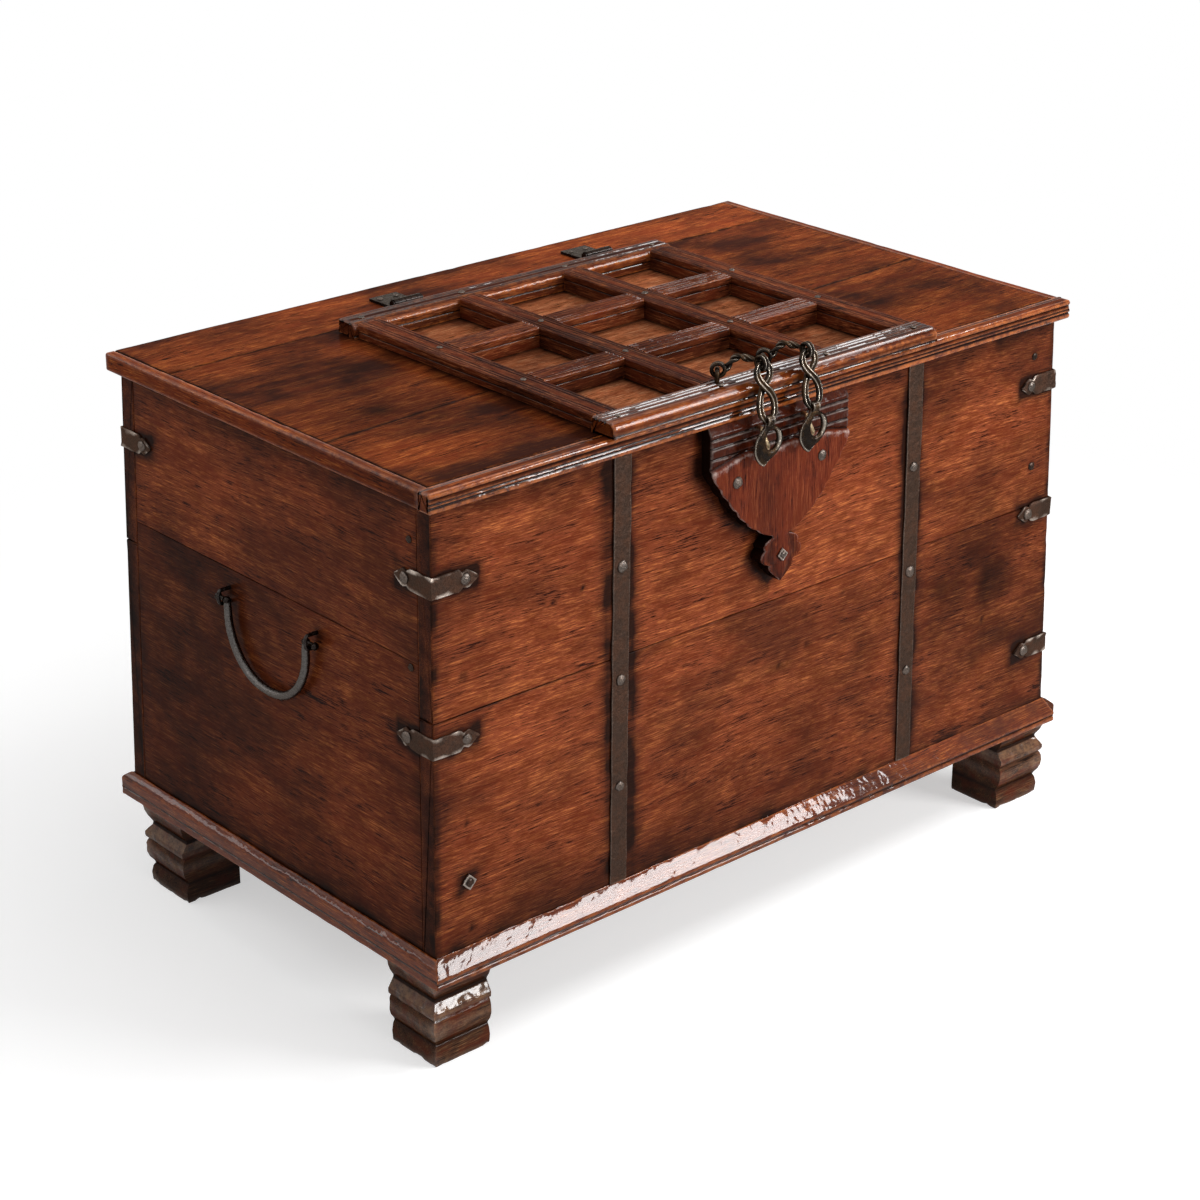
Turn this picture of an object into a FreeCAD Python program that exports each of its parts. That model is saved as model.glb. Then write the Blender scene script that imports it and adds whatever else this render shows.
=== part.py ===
"""Teak dowry chest with a coffered lid panel, iron straps, chain hasps and bail handles.

Millimetres, +Z up, front face towards -Y. The chest stands on z = 0, and the
origin lies under the middle of its whole box.
"""
import FreeCAD
import Part
import math
import os

V = FreeCAD.Vector

# Overall case
case_top_width = 856.4
case_top_depth = 506.2
case_height = 482.0
wall_thickness = 22.0
floor_thickness = 18.0
side_lean_share = 0.0276
front_lean_share = 0.0205
front_seam_height = 272.0
back_seam_height = 300.0
side_seam_height = 325.0
floor_boards_count = 3

# Plinth moulding and feet
foot_height = 93.5
foot_size = 72.0
foot_side_inset = 3.1
foot_front_inset = 10.5
foot_back_inset = 35.0
foot_carving_depth = 7.0
plinth_height = 28.7
plinth_side_reach = 8.5
plinth_front_reach = 11.2
plinth_bead_height = 6.0
plinth_nosing_height = 11.5
plinth_groove_depth = 2.2
plinth_round = 7.5

# Fixed top: three planks, two end strips and a reeded front strip
top_thickness = 20.5
top_side_overhang = 10.4
top_front_overhang = 11.6
front_strip_width = 17.0
end_strip_width = 12.0
back_seam_shares = (0.314, 0.340)
middle_seam_shares = (-0.178, -0.085)
reed_depth = 1.6
arris_round = 3.0
reed_height_shares = (0.30, 0.42, 0.54)

# Lid: a lattice of bars nailed over loose boards, hinged at its back
lid_width_share = 0.5091
lid_back_share = 0.6045
lid_front_overhang = 4.0
lid_rise = 16.0
lid_rest_gap = 0.3
lid_rebate = 14.0
lid_side_gap = 2.0
front_ledge = 6.5
lid_board_thickness = 12.0
coffer_sink = 6.0
outer_bar_width = 30.0
inner_bar_width = 28.0
inner_bar_shares = (-0.321, 0.344)
cross_bar_width = 29.0
coffer_row_shares = (0.276, 0.276)
back_rail_width = 29.0
front_rail_width = 33.5
rail_end_reach = 4.0
bar_chamfer = 1.8
reed_groove_width = 2.0
reed_groove_depth = 1.3
rail_reed_shares = (0.17, 0.30, 0.60, 0.72)
bar_reed_shares = (0.20, 0.80)

# Hinges
hinge_centre_shares = (-0.523, 0.716)
hinge_behind_lid = 24.0
hinge_barrel_radius = 5.5
hinge_pin_radius = 2.4
hinge_pin_clearance = 0.05
hinge_leaf_thickness = 2.5
hinge_leaf_lift = 0.4
hinge_width = 36.0
hinge_leaf_depth = 42.0
hinge_knuckles = 5
hinge_knuckle_gap = 0.4
hinge_plate_gap = 0.6
hinge_head_thickness = 1.6

# Iron straps and nails
strap_width = 22.0
strap_thickness = 2.0
left_strap_shares = (-0.4624, -0.4766)
right_strap_shares = (0.4869, 0.4675)
strap_nail_shares = (0.255, 0.515, 0.767)
corner_strap_height = 21.5
corner_strap_length = 55.0
corner_neck_shares = (0.60, 0.66, 0.76)
corner_neck_height_shares = (0.66, 0.88)
front_left_strap_heights = (406.5, 247.0)
front_right_strap_heights = (412.5, 264.5, 99.5)
back_left_strap_heights = (413.0,)
back_right_strap_heights = (413.0,)
corner_nail_share = 0.69
nail_radius = 6.0
nail_dome = 2.6
small_nail_radius = 3.4
small_nail_dome = 1.5
small_nail_edge = 32.0
small_nail_heights = (445.0, 319.0)
washer_half = 9.0
washer_thickness = 2.0
washer_edge = 40.0
washer_height = 97.0

# Carved lock plate with its two staples
lock_thickness = 14.0
shield_relief = 2.6
lock_bevel = 8.0
lock_half_width = 95.0
lock_shoulder_drop = 43.5
lock_reed_drops = (12.0, 31.5, 20.0)
lock_outline_half_shares = (1.0, 0.985, 0.85, 0.71, 0.63, 0.42, 0.21, 0.13, 0.32, 0.20, 0.11, 0.0)
lock_length = 182.0
lock_outline_drop_shares = (0.0, 0.285, 0.395, 0.49, 0.57, 0.665, 0.72, 0.74, 0.83, 0.895, 0.915, 1.0)
lock_nail_shares = (-0.66, 0.58)
lock_nail_drop_shares = (0.335, 0.84)
shield_crest_shares = (0.0, 0.05, 0.10, 0.03, 0.10, 0.05, 0.0)
staple_half_height = 11.0
staple_wire = 2.5
staple_reach = 12.3
staple_corner = 5.0
staple_drop = 20.0

# Chains and hasps
chain_centres = (-34.0, 28.0)
chain_wire = 2.6
chain_clearance = 0.3
chain_ring_radius = 6.4
chain_ring_lift = 2.4
chain_end_rise = 7.6
chain_overhang = 2.6
chain_reach = 42.0
chain_slant_shares = (-0.71, 0.70)
chain_hump = 9.0
chain_staple_half = 5.2
link_top_half = 7.2
link_shoulder_half = 8.6
link_waist_half = 4.0
link_belly_half = 9.6
link_bottom_half = 8.6
link_corner = 3.0
link_bend = 7.0
link_drop_shares = (0.24, 0.46, 0.74)
hasp_gap = 0.5
hasp_thickness = 5.4
hasp_half_width = 19.0
hasp_length = 46.0
hasp_tip_shift = -6.0
hasp_eye_half = 4.6
hasp_eye_wall = 2.3
hasp_eye_clearance = 0.35
hasp_slot_half_width = 10.0
hasp_slot_half_height = 14.5
hasp_slot_drop = 22.5
hasp_slot_shift = 2.0

# Bail handles
handle_drop_share = 0.386
handle_centre_share = -0.02
handle_half_width = 66.0
handle_bottom_half = 56.0
handle_drop = 76.0
handle_rod = 4.6
handle_pin = 2.6
handle_pin_length = 14.0
handle_knob = 4.4
handle_sweep = 62.0
handle_stand = 8.6
handle_staple_wire = 2.1
handle_staple_half = 7.2
handle_staple_reach = 13.8
handle_staple_corner = 4.0
handle_clearance = 0.3

# One overrun serves every cut
over = 5.0

# Levels worked out from the sizes above
plinth_z = foot_height
plinth_top_z = plinth_z + plinth_height
case_top_z = plinth_z + case_height
top_z = case_top_z + top_thickness
lid_base_z = top_z + lid_rest_gap
lid_top_z = top_z + lid_rise
board_top_z = top_z - coffer_sink
board_base_z = board_top_z - lid_board_thickness


def half_width(z):
    """Half the case's width at a height: the walls lean out towards the floor."""
    return case_top_width / 2 + side_lean_share * (case_top_z - z)


def half_depth(z):
    """Half the case's depth at a height."""
    return case_top_depth / 2 + front_lean_share * (case_top_z - z)


top_half_width = case_top_width / 2 + top_side_overhang
top_half_depth = case_top_depth / 2 + top_front_overhang
plinth_half_width = half_width(plinth_z) + plinth_side_reach
plinth_half_depth = half_depth(plinth_z) + plinth_front_reach
lid_half_width = lid_width_share * case_top_width / 2
lid_back_y = lid_back_share * top_half_depth
lid_front_y = -top_half_depth - lid_front_overhang
rail_inner_y = lid_front_y + front_rail_width
opening_half_width = lid_half_width - lid_rebate
opening_back_y = lid_back_y - lid_rebate
opening_front_y = -top_half_depth + front_strip_width + front_ledge
board_half_width = opening_half_width - lid_side_gap
board_back_y = opening_back_y - lid_side_gap
board_front_y = opening_front_y + lid_side_gap
inner_bar_centres = [lid_half_width * s for s in inner_bar_shares]
hinge_centres = [lid_half_width * s for s in hinge_centre_shares]
hinge_y = lid_back_y + hinge_behind_lid
hinge_z = top_z + hinge_leaf_lift + hinge_barrel_radius
head_face_z = case_top_z - staple_drop
head_face_y = -half_depth(head_face_z) - lock_thickness
hasp_back_y = head_face_y - staple_reach - hasp_gap
hasp_y = hasp_back_y - hasp_thickness / 2
hasp_z = case_top_z + chain_clearance
ring_outer = chain_ring_radius + chain_wire
ring_play = chain_ring_radius - 2 * chain_wire - chain_clearance
start_ring_z = lid_top_z + chain_ring_lift + ring_outer
end_ring_z = start_ring_z + chain_end_rise
end_ring_y = lid_front_y - chain_overhang
eye_outer = chain_wire + hasp_eye_clearance + hasp_eye_wall
front_reach = -hasp_y + max(eye_outer, hasp_thickness / 2)
handle_centre_y = handle_centre_share * case_top_depth / 2
case_y = (front_reach - plinth_half_depth) / 2


def emit(name, *solids):
    """Write one named piece, moved so that the origin is under the middle of the whole box."""
    shape = solids[0].copy() if len(solids) == 1 else Part.makeCompound([s.copy() for s in solids])
    shape.translate(V(0, case_y, 0))
    shape.exportStep("parts/%s.step" % name)
    box = shape.BoundBox
    print("%-28s %6.1f..%6.1f %6.1f..%6.1f %6.1f..%6.1f  %d valid=%s" % (
        name, box.XMin, box.XMax, box.YMin, box.YMax, box.ZMin, box.ZMax, len(shape.Solids), shape.isValid()))


def solid_of(faces):
    """A closed solid from its flat faces."""
    solid = Part.makeSolid(Part.makeShell(faces))
    if solid.Volume < 0:
        solid.reverse()
    return solid


def slab(low, high):
    """A six-sided block from a lower and an upper outline of four points each."""
    faces = [Part.Face(Part.makePolygon(low + low[:1])), Part.Face(Part.makePolygon(high + high[:1]))]
    for i in range(len(low)):
        j = (i + 1) % len(low)
        faces.append(Part.Face(Part.makePolygon([low[i], low[j], high[j], high[i], low[i]])))
    return solid_of(faces)


def leaning(x_low, x_high, y_low, y_high, z0, z1):
    """A block between two heights whose four sides are functions of the height."""
    rings = []
    for z in (z0, z1):
        a, b, c, d = x_low(z), x_high(z), y_low(z), y_high(z)
        rings.append([V(a, c, z), V(b, c, z), V(b, d, z), V(a, d, z)])
    return slab(rings[0], rings[1])


def box(x0, x1, y0, y1, z0, z1):
    """A plain block between two corners."""
    return Part.makeBox(x1 - x0, y1 - y0, z1 - z0, V(x0, y0, z0))


def outline_face(start, steps, at):
    """A face bounded by lines and arcs: a step is an end point, or a middle and an end point."""
    edges = []
    here = start
    for step in steps:
        if isinstance(step[0], tuple):
            edges.append(Part.Arc(at(*here), at(*step[0]), at(*step[1])).toShape())
            here = step[1]
        else:
            edges.append(Part.makeLine(at(*here), at(*step)))
            here = step
    edges.append(Part.makeLine(at(*here), at(*start)))
    return Part.Face(Part.Wire(edges))


def prism(points, axis, low, high):
    """A prism of a closed outline, along X, Y or Z."""
    at = {"x": lambda a, b: V(low, a, b), "y": lambda a, b: V(a, low, b), "z": lambda a, b: V(a, b, low)}[axis]
    way = {"x": V(1, 0, 0), "y": V(0, 1, 0), "z": V(0, 0, 1)}[axis]
    return outline_face(points[0], points[1:], at).extrude(way * (high - low))


def groove(axis, low, high, across, level, width, depth, side=0):
    """A V-shaped cutter along X or Y, opening upwards, or sideways where side is 1 or -1."""
    if side == 0:
        pts = [(across - width / 2, level), (across, level - depth), (across + width / 2, level)]
        pts = [(across - width / 2, level + depth)] + pts + [(across + width / 2, level + depth)]
    else:
        out = across + side * depth
        pts = [(out, level - width / 2), (across, level - width / 2), (across - side * depth, level)]
        pts = pts + [(across, level + width / 2), (out, level + width / 2)]
    return prism(pts, axis, low, high)


def wire_path(points, radii):
    """A wire of straight runs joined by tangent arcs."""
    edges = []
    here = points[0]
    for i in range(1, len(points) - 1):
        into = (points[i] - points[i - 1]).normalize()
        out = (points[i + 1] - points[i]).normalize()
        turn = math.acos(max(-1.0, min(1.0, into.dot(out))))
        reach = radii[i - 1] * math.tan(turn / 2)
        start = points[i] - into * reach
        end = points[i] + out * reach
        inward = (out - into).normalize()
        middle = points[i] + inward * (radii[i - 1] / math.cos(turn / 2) - radii[i - 1])
        if (start - here).Length > reed_depth * 0.01:
            edges.append(Part.makeLine(here, start))
        edges.append(Part.Arc(start, middle, end).toShape())
        here = end
    edges.append(Part.makeLine(here, points[-1]))
    return Part.Wire(edges)


def rod(points, radii, radius):
    """A round bar bent along straight runs and arcs."""
    path = wire_path(points, radii)
    way = (points[1] - points[0]).normalize()
    ring = Part.Wire(Part.Circle(points[0], way, radius).toShape())
    return path.makePipeShell([ring], True, False)


def dome(centre, normal, radius, height):
    """A nail head: a low round cap that sits flat on a surface."""
    bow = (radius * radius + height * height) / (2 * height)
    arc = Part.Arc(V(radius, 0, 0), V(radius * math.sqrt(0.5), 0, _cap(radius, bow, height)), V(0, 0, height))
    wire = Part.Wire([arc.toShape(), Part.makeLine(V(0, 0, height), V(0, 0, 0)), Part.makeLine(V(0, 0, 0), V(radius, 0, 0))])
    head = Part.Face(wire).revolve(V(0, 0, 0), V(0, 0, 1), 360)
    head.Placement = FreeCAD.Placement(centre, FreeCAD.Rotation(V(0, 0, 1), normal))
    return head


def _cap(radius, bow, height):
    """Height of the cap above its seat at the middle of its rim's curve."""
    at = radius * math.sqrt(0.5)
    return math.sqrt(bow * bow - at * at) - (bow - height)


def front_point(x, z, out=0.0):
    """A point on the leaning front, stood off along Y."""
    return V(x, -half_depth(z) - out, z)


front_normal = V(0, -1, front_lean_share).normalize()
back_normal = V(0, 1, front_lean_share).normalize()
left_normal = V(-1, 0, side_lean_share).normalize()
right_normal = V(1, 0, side_lean_share).normalize()


def make_walls():
    """Front, back and side planks, butted at level seams, with the sides between front and back."""
    t = wall_thickness
    ends = (lambda z: -half_width(z), lambda z: half_width(z))
    for name, seam, y_low, y_high in (
            ("front", front_seam_height, lambda z: -half_depth(z), lambda z: t - half_depth(z)),
            ("back", back_seam_height, lambda z: half_depth(z) - t, lambda z: half_depth(z))):
        cut = plinth_z + seam
        emit(name + "_plank_lower", leaning(ends[0], ends[1], y_low, y_high, plinth_z, cut))
        emit(name + "_plank_upper", leaning(ends[0], ends[1], y_low, y_high, cut, case_top_z))
    inside = (lambda z: t - half_depth(z), lambda z: half_depth(z) - t)
    cut = plinth_z + side_seam_height
    for name, x_low, x_high in (
            ("left", lambda z: -half_width(z), lambda z: t - half_width(z)),
            ("right", lambda z: half_width(z) - t, lambda z: half_width(z))):
        emit(name + "_side_lower", leaning(x_low, x_high, inside[0], inside[1], plinth_z, cut))
        emit(name + "_side_upper", leaning(x_low, x_high, inside[0], inside[1], cut, case_top_z))


def make_floor():
    """Boards along the chest's length, let in between the four walls."""
    t = wall_thickness
    low = (lambda z: t - half_width(z), lambda z: half_width(z) - t)
    edges = [(lambda z: t - half_depth(z))]
    span = 2 * (half_depth(plinth_z) - t)
    for i in range(1, floor_boards_count):
        edges.append(lambda z, i=i: -span / 2 + span * i / floor_boards_count)
    edges.append(lambda z: half_depth(z) - t)
    top = plinth_z + floor_thickness
    boards = [leaning(low[0], low[1], edges[i], edges[i + 1], plinth_z, top) for i in range(floor_boards_count)]
    emit("floor_boards", *boards)


def plinth_front_profile(half):
    """Broad bevel, nosing, groove and bottom bead; distances are from the chest's middle."""
    out = half(plinth_z) + plinth_front_reach
    bead = plinth_z + plinth_bead_height
    nose = plinth_z + plinth_nosing_height
    g = plinth_groove_depth
    foot = half(plinth_z)
    crown = half(plinth_top_z)
    bow = (out - g / 2 - (out - crown) * 0.40, nose + (plinth_top_z - nose) * 0.55)
    return [(foot, plinth_z), (out - g / 2, plinth_z), ((out, (plinth_z + bead) / 2), (out - g / 2, bead)),
            (out - g, bead + g / 4), (out - g / 2, bead + g / 2), ((out, (bead + nose) / 2), (out - g / 2, nose)),
            (bow, (crown + g / 2, plinth_top_z)), (crown, plinth_top_z)]


def plinth_side_profile(half):
    """Rounded upper edge over a plain fascia."""
    out = half(plinth_z) + plinth_side_reach
    r = plinth_round
    crown = half(plinth_top_z)
    mid = (out - r * (1 - math.sqrt(0.5)), plinth_top_z - r * (1 - math.sqrt(0.5)))
    return [(half(plinth_z), plinth_z), (out, plinth_z), (out, plinth_top_z - r),
            (mid, (out - r, plinth_top_z)), (crown, plinth_top_z)]


def make_plinth():
    """Four moulded skirting lengths, mitred at the corners."""
    hw, hd = half_width(plinth_z), half_depth(plinth_z)
    rx, ry = plinth_side_reach, plinth_front_reach
    m = wall_thickness
    long_trim = [(hw - m * rx / ry, hd - m), (hw + (ry + m) * rx / ry, hd + ry + m)]
    side_trim = [(hw - m, hd - m * ry / rx), (hw + rx + m, hd + (rx + m) * ry / rx)]
    reach = plinth_half_width + over
    for name, sign in (("front", -1), ("back", 1)):
        pts = _signed(plinth_front_profile(half_depth), sign)
        bar = prism(pts, "x", -reach, reach)
        (a, b), (c, d) = long_trim
        keep = prism([(-a, sign * b), (a, sign * b), (c, sign * d), (-c, sign * d)], "z",
                     plinth_z - over, plinth_top_z + over)
        emit("plinth_" + name, bar.common(keep).Solids[0])
    reach = plinth_half_depth + over
    for name, sign in (("left", -1), ("right", 1)):
        pts = _signed(plinth_side_profile(half_width), sign)
        bar = prism(pts, "y", -reach, reach)
        (a, b), (c, d) = side_trim
        keep = prism([(sign * a, -b), (sign * a, b), (sign * c, d), (sign * c, -d)], "z",
                     plinth_z - over, plinth_top_z + over)
        emit("plinth_" + name, bar.common(keep).Solids[0])


def _signed(steps, sign):
    """The same outline on the other side of the middle."""
    out = []
    for step in steps:
        if isinstance(step[0], tuple):
            out.append(((sign * step[0][0], step[0][1]), (sign * step[1][0], step[1][1])))
        else:
            out.append((sign * step[0], step[1]))
    return out


def foot_profile():
    """Carved outline of a foot's outer face: inward distance and height."""
    d, h = foot_carving_depth, foot_height
    return [(0, h), ((d * 0.25, h * 0.86), (d, h * 0.775)), (d * 0.95, h * 0.755),
            ((d * 0.35, h * 0.70), (0, h * 0.645)), ((-d * 0.04, h * 0.615), (d * 0.12, h * 0.59)),
            (d * 0.62, h * 0.575), ((d * 0.02, h * 0.42), (d * 0.75, h * 0.265)), (d * 0.80, h * 0.235),
            ((d * 0.50, h * 0.12), (d * 0.62, 0)), (foot_size, 0), (foot_size, h)]


def make_feet():
    """Four square feet, carved on their two outer faces only."""
    pts = foot_profile()
    a = prism(pts, "y", 0, foot_size)
    b = prism(pts, "x", 0, foot_size)
    foot = a.common(b).Solids[0]
    x = plinth_half_width - foot_side_inset
    for name, sx, sy, inset in (
            ("front_left", -1, -1, foot_front_inset), ("front_right", 1, -1, foot_front_inset),
            ("back_left", -1, 1, foot_back_inset), ("back_right", 1, 1, foot_back_inset)):
        turned = foot.copy()
        if sx > 0:
            turned = turned.mirror(V(0, 0, 0), V(1, 0, 0))
        if sy > 0:
            turned = turned.mirror(V(0, 0, 0), V(0, 1, 0))
        turned.translate(V(sx * x, sy * (plinth_half_depth - inset), 0))
        emit("foot_" + name, turned)


def seam_y(shares, x):
    """A slanting plank seam's place across the top."""
    run = top_half_width - end_strip_width
    left, right = (s * 2 * top_half_depth for s in shares)
    return left + (right - left) * (x + run) / (2 * run)


def make_top():
    """Three planks with slanting seams, sawn out for the lid, with their strips."""
    run = top_half_width - end_strip_width
    front = -top_half_depth + front_strip_width
    edges = [lambda x: front, lambda x: seam_y(middle_seam_shares, x), lambda x: seam_y(back_seam_shares, x),
             lambda x: top_half_depth]
    hole = box(-opening_half_width, opening_half_width, opening_front_y, opening_back_y,
               case_top_z - over, top_z + over)
    for i, name in enumerate(("front", "middle", "back")):
        lo, hi = edges[i], edges[i + 1]
        pts = [(-run, lo(-run)), (run, lo(run)), (run, hi(run)), (-run, hi(-run))]
        plank = prism(pts, "z", case_top_z, top_z)
        emit("top_plank_" + name, plank.cut(hole).Solids[0])
    r = arris_round
    for name, sign in (("left", -1), ("right", 1)):
        out, back = sign * top_half_width, sign * (top_half_width - end_strip_width)
        k = sign * r * (1 - math.sqrt(0.5))
        pts = [(back, case_top_z), (out - sign * r, case_top_z),
               ((out - k, case_top_z + abs(k)), (out, case_top_z + r)), (out, top_z - r),
               ((out - k, top_z - abs(k)), (out - sign * r, top_z)), (back, top_z)]
        emit("top_end_" + name, prism(pts, "y", front, top_half_depth))
    make_front_strip()


def make_front_strip():
    """Reeded strip along the front edge of the top."""
    out, back = -top_half_depth, -top_half_depth + front_strip_width
    r, g, t = arris_round, reed_depth, top_thickness
    low, mid, high = (case_top_z + t * s for s in reed_height_shares)
    k = r * (1 - math.sqrt(0.5))
    pts = [(back, case_top_z), (out + r, case_top_z), ((out + k, case_top_z + k), (out, case_top_z + r)),
           (out, low - g / 2), (out + g, low), ((out - g * 0.2, (low + mid) / 2), (out + g, mid)),
           (out + g / 2, mid + g / 2), ((out + g, (high + top_z) / 2), (out, top_z - r)),
           ((out + k, top_z - k), (out + r, top_z)), (back, top_z)]
    emit("top_front_strip", prism(pts, "x", -top_half_width, top_half_width))


def chamfered(x0, x1, y0, y1, z1, along):
    """A bar's upper part with its two long upper arrises taken off."""
    c = bar_chamfer
    if along == "y":
        pts = [(x0, lid_base_z), (x1, lid_base_z), (x1, z1 - c), (x1 - c, z1), (x0 + c, z1), (x0, z1 - c)]
        return prism(pts, "y", y0, y1)
    pts = [(y0, lid_base_z), (y1, lid_base_z), (y1, z1 - c), (y1 - c, z1), (y0 + c, z1), (y0, z1 - c)]
    return prism(pts, "x", x0, x1)


def reeds(shares, low, high, a, b, axis):
    """Cutters for the reeds along a bar's upper face."""
    return [groove(axis, a - over, b + over, low + (high - low) * s, lid_top_z, reed_groove_width,
                   reed_groove_depth) for s in shares]


def cross_rows():
    """The two cross bars' back and front edges, counted from the back rail."""
    y = lid_back_y - back_rail_width
    span = y - rail_inner_y
    rows = []
    for share in coffer_row_shares:
        rows.append((y - span * share, y - span * share - cross_bar_width))
        y = rows[-1][1]
    return rows


def make_lid():
    """The lattice: four long bars, two cross bars lapped under them, two rails and the boards."""
    back_y = lid_back_y - back_rail_width
    spans = {"lid_bar_left": (-lid_half_width, -lid_half_width + outer_bar_width),
             "lid_bar_inner_left": (inner_bar_centres[0] - inner_bar_width / 2, inner_bar_centres[0] + inner_bar_width / 2),
             "lid_bar_inner_right": (inner_bar_centres[1] - inner_bar_width / 2, inner_bar_centres[1] + inner_bar_width / 2),
             "lid_bar_right": (lid_half_width - outer_bar_width, lid_half_width)}
    rows = cross_rows()
    laps = [box(-board_half_width, board_half_width, low, high, board_top_z - over, lid_base_z) for high, low in rows]
    bars = []
    for name, (x0, x1) in spans.items():
        upper = chamfered(x0, x1, rail_inner_y, back_y, lid_top_z, "y")
        lower = box(max(x0, -board_half_width), min(x1, board_half_width), rail_inner_y, back_y, board_top_z, lid_base_z)
        bar = upper.fuse(lower).removeSplitter()
        for lap in laps:
            bar = bar.cut(lap)
        for cutter in reeds(bar_reed_shares, x0, x1, rail_inner_y, back_y, "y"):
            bar = bar.cut(cutter)
        bars.append(upper)
        emit(name, bar.Solids[0])
    for name, (high, low) in zip(("lid_cross_bar_back", "lid_cross_bar_front"), rows):
        reach = lid_half_width - outer_bar_width + bar_chamfer
        upper = chamfered(-reach, reach, low, high, lid_top_z, "x")
        for cutter in reeds(rail_reed_shares, low, high, -reach, reach, "x"):
            upper = upper.cut(cutter)
        for bar in bars:
            upper = upper.cut(bar)
        lower = box(-board_half_width, board_half_width, low, high, board_top_z, lid_base_z)
        emit(name, upper.fuse(lower).removeSplitter().Solids[0])
    make_lid_rails(back_y)
    make_lid_boards(rows, back_y)
    make_lid_nails(spans, rows, back_y)


def make_lid_rails(back_y):
    """Front and back rails, reeded along the top and running past the long bars."""
    reach = lid_half_width + rail_end_reach
    back = chamfered(-reach, reach, back_y, lid_back_y, lid_top_z, "x")
    back = back.fuse(box(-board_half_width, board_half_width, back_y, board_back_y, board_top_z, lid_base_z))
    back = back.removeSplitter()
    for cutter in reeds(rail_reed_shares, back_y, lid_back_y, -reach, reach, "x"):
        back = back.cut(cutter)
    for x in hinge_centres:
        back = back.cut(box(x - hinge_width / 2, x + hinge_width / 2, hinge_y - hinge_leaf_depth, lid_back_y + over,
                            top_z - over, leaf_top()))
    emit("lid_rail_back", back.Solids[0])
    front = chamfered(-reach, reach, lid_front_y, rail_inner_y, lid_top_z, "x")
    lower = box(-board_half_width, board_half_width, board_front_y, rail_inner_y, board_top_z, lid_base_z)
    front = front.fuse(lower).removeSplitter()
    for cutter in reeds(rail_reed_shares, rail_inner_y, lid_front_y, -reach, reach, "x"):
        front = front.cut(cutter)
    emit("lid_rail_front", front.Solids[0])


def make_lid_boards(rows, back_y):
    """Three boards under the lattice, one to a row of coffers."""
    edges = [board_back_y, (rows[0][0] + rows[0][1]) / 2, (rows[1][0] + rows[1][1]) / 2, board_front_y]
    boards = [box(-board_half_width, board_half_width, edges[i + 1], edges[i], board_base_z, board_top_z)
              for i in range(len(edges) - 1)]
    emit("lid_boards", *boards)


def make_lid_nails(spans, rows, back_y):
    """One nail at each crossing of the lattice."""
    up = V(0, 0, 1)
    ys = [(back_y + lid_back_y) / 2, (rows[0][0] + rows[0][1]) / 2, (rows[1][0] + rows[1][1]) / 2,
          (lid_front_y + rail_inner_y) / 2]
    nails = []
    for x0, x1 in spans.values():
        for y in ys:
            nails.append(dome(V((x0 + x1) / 2, y, lid_top_z), up, small_nail_radius, small_nail_dome))
    emit("lid_nails", *nails)


def leaf_top():
    """Upper face of the hinge leaves."""
    return top_z + hinge_leaf_lift + hinge_leaf_thickness


def make_hinges():
    """Two butt hinges behind the lid: fixed leaf, moving leaf and pin."""
    fixed, moving, pins = [], [], []
    w = hinge_width
    pitch = w / hinge_knuckles
    r = hinge_barrel_radius
    bore_r = hinge_pin_radius + hinge_pin_clearance
    way = V(1, 0, 0)
    for x in hinge_centres:
        x0 = x - w / 2
        barrels = [[], []]
        for i in range(hinge_knuckles):
            a = x0 + pitch * i + hinge_knuckle_gap / 2
            barrels[i % 2].append(Part.makeCylinder(r, pitch - hinge_knuckle_gap, V(a, hinge_y, hinge_z), way))
        for kind, sign, base in ((0, 1, top_z), (1, -1, top_z + hinge_leaf_lift)):
            near, far = hinge_y + sign * (r + hinge_plate_gap), hinge_y + sign * hinge_leaf_depth
            leaf = box(x0, x0 + w, min(near, far), max(near, far), base, leaf_top())
            for i in range(kind, hinge_knuckles, 2):
                a = x0 + pitch * i + hinge_knuckle_gap / 2
                low, high = min(hinge_y, near), max(hinge_y, near)
                leaf = leaf.fuse(box(a, a + pitch - hinge_knuckle_gap, low, high, top_z + hinge_leaf_lift, leaf_top()))
            for barrel in barrels[kind]:
                leaf = leaf.fuse(barrel)
            leaf = leaf.cut(Part.makeCylinder(bore_r, w + 2 * over, V(x0 - over, hinge_y, hinge_z), way))
            (fixed if kind == 0 else moving).append(leaf.removeSplitter().Solids[0])
        pin = Part.makeCylinder(hinge_pin_radius, w, V(x0, hinge_y, hinge_z), way)
        head = hinge_head_thickness
        pin = pin.fuse(Part.makeCylinder(r * 0.8, head, V(x0 - head, hinge_y, hinge_z), way))
        pin = pin.fuse(Part.makeCylinder(r * 0.8, head, V(x0 + w, hinge_y, hinge_z), way))
        pins.append(pin.removeSplitter())
    emit("hinge_leaves_fixed", *fixed)
    emit("hinge_leaves_moving", *moving)
    emit("hinge_pins", *pins)
    nails = []
    up = V(0, 0, 1)
    for x in hinge_centres:
        for side in (-1, 1):
            place = V(x + side * hinge_width * 0.3, hinge_y + hinge_leaf_depth * 0.78, leaf_top())
            nails.append(dome(place, up, small_nail_radius, small_nail_dome))
    emit("hinge_nails", *nails)


def front_skin(thickness):
    """A sheet lying on the leaning front face."""
    reach = plinth_half_width
    return leaning(lambda z: -reach, lambda z: reach, lambda z: -half_depth(z) - thickness,
                   lambda z: -half_depth(z), plinth_z - over, case_top_z)


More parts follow.
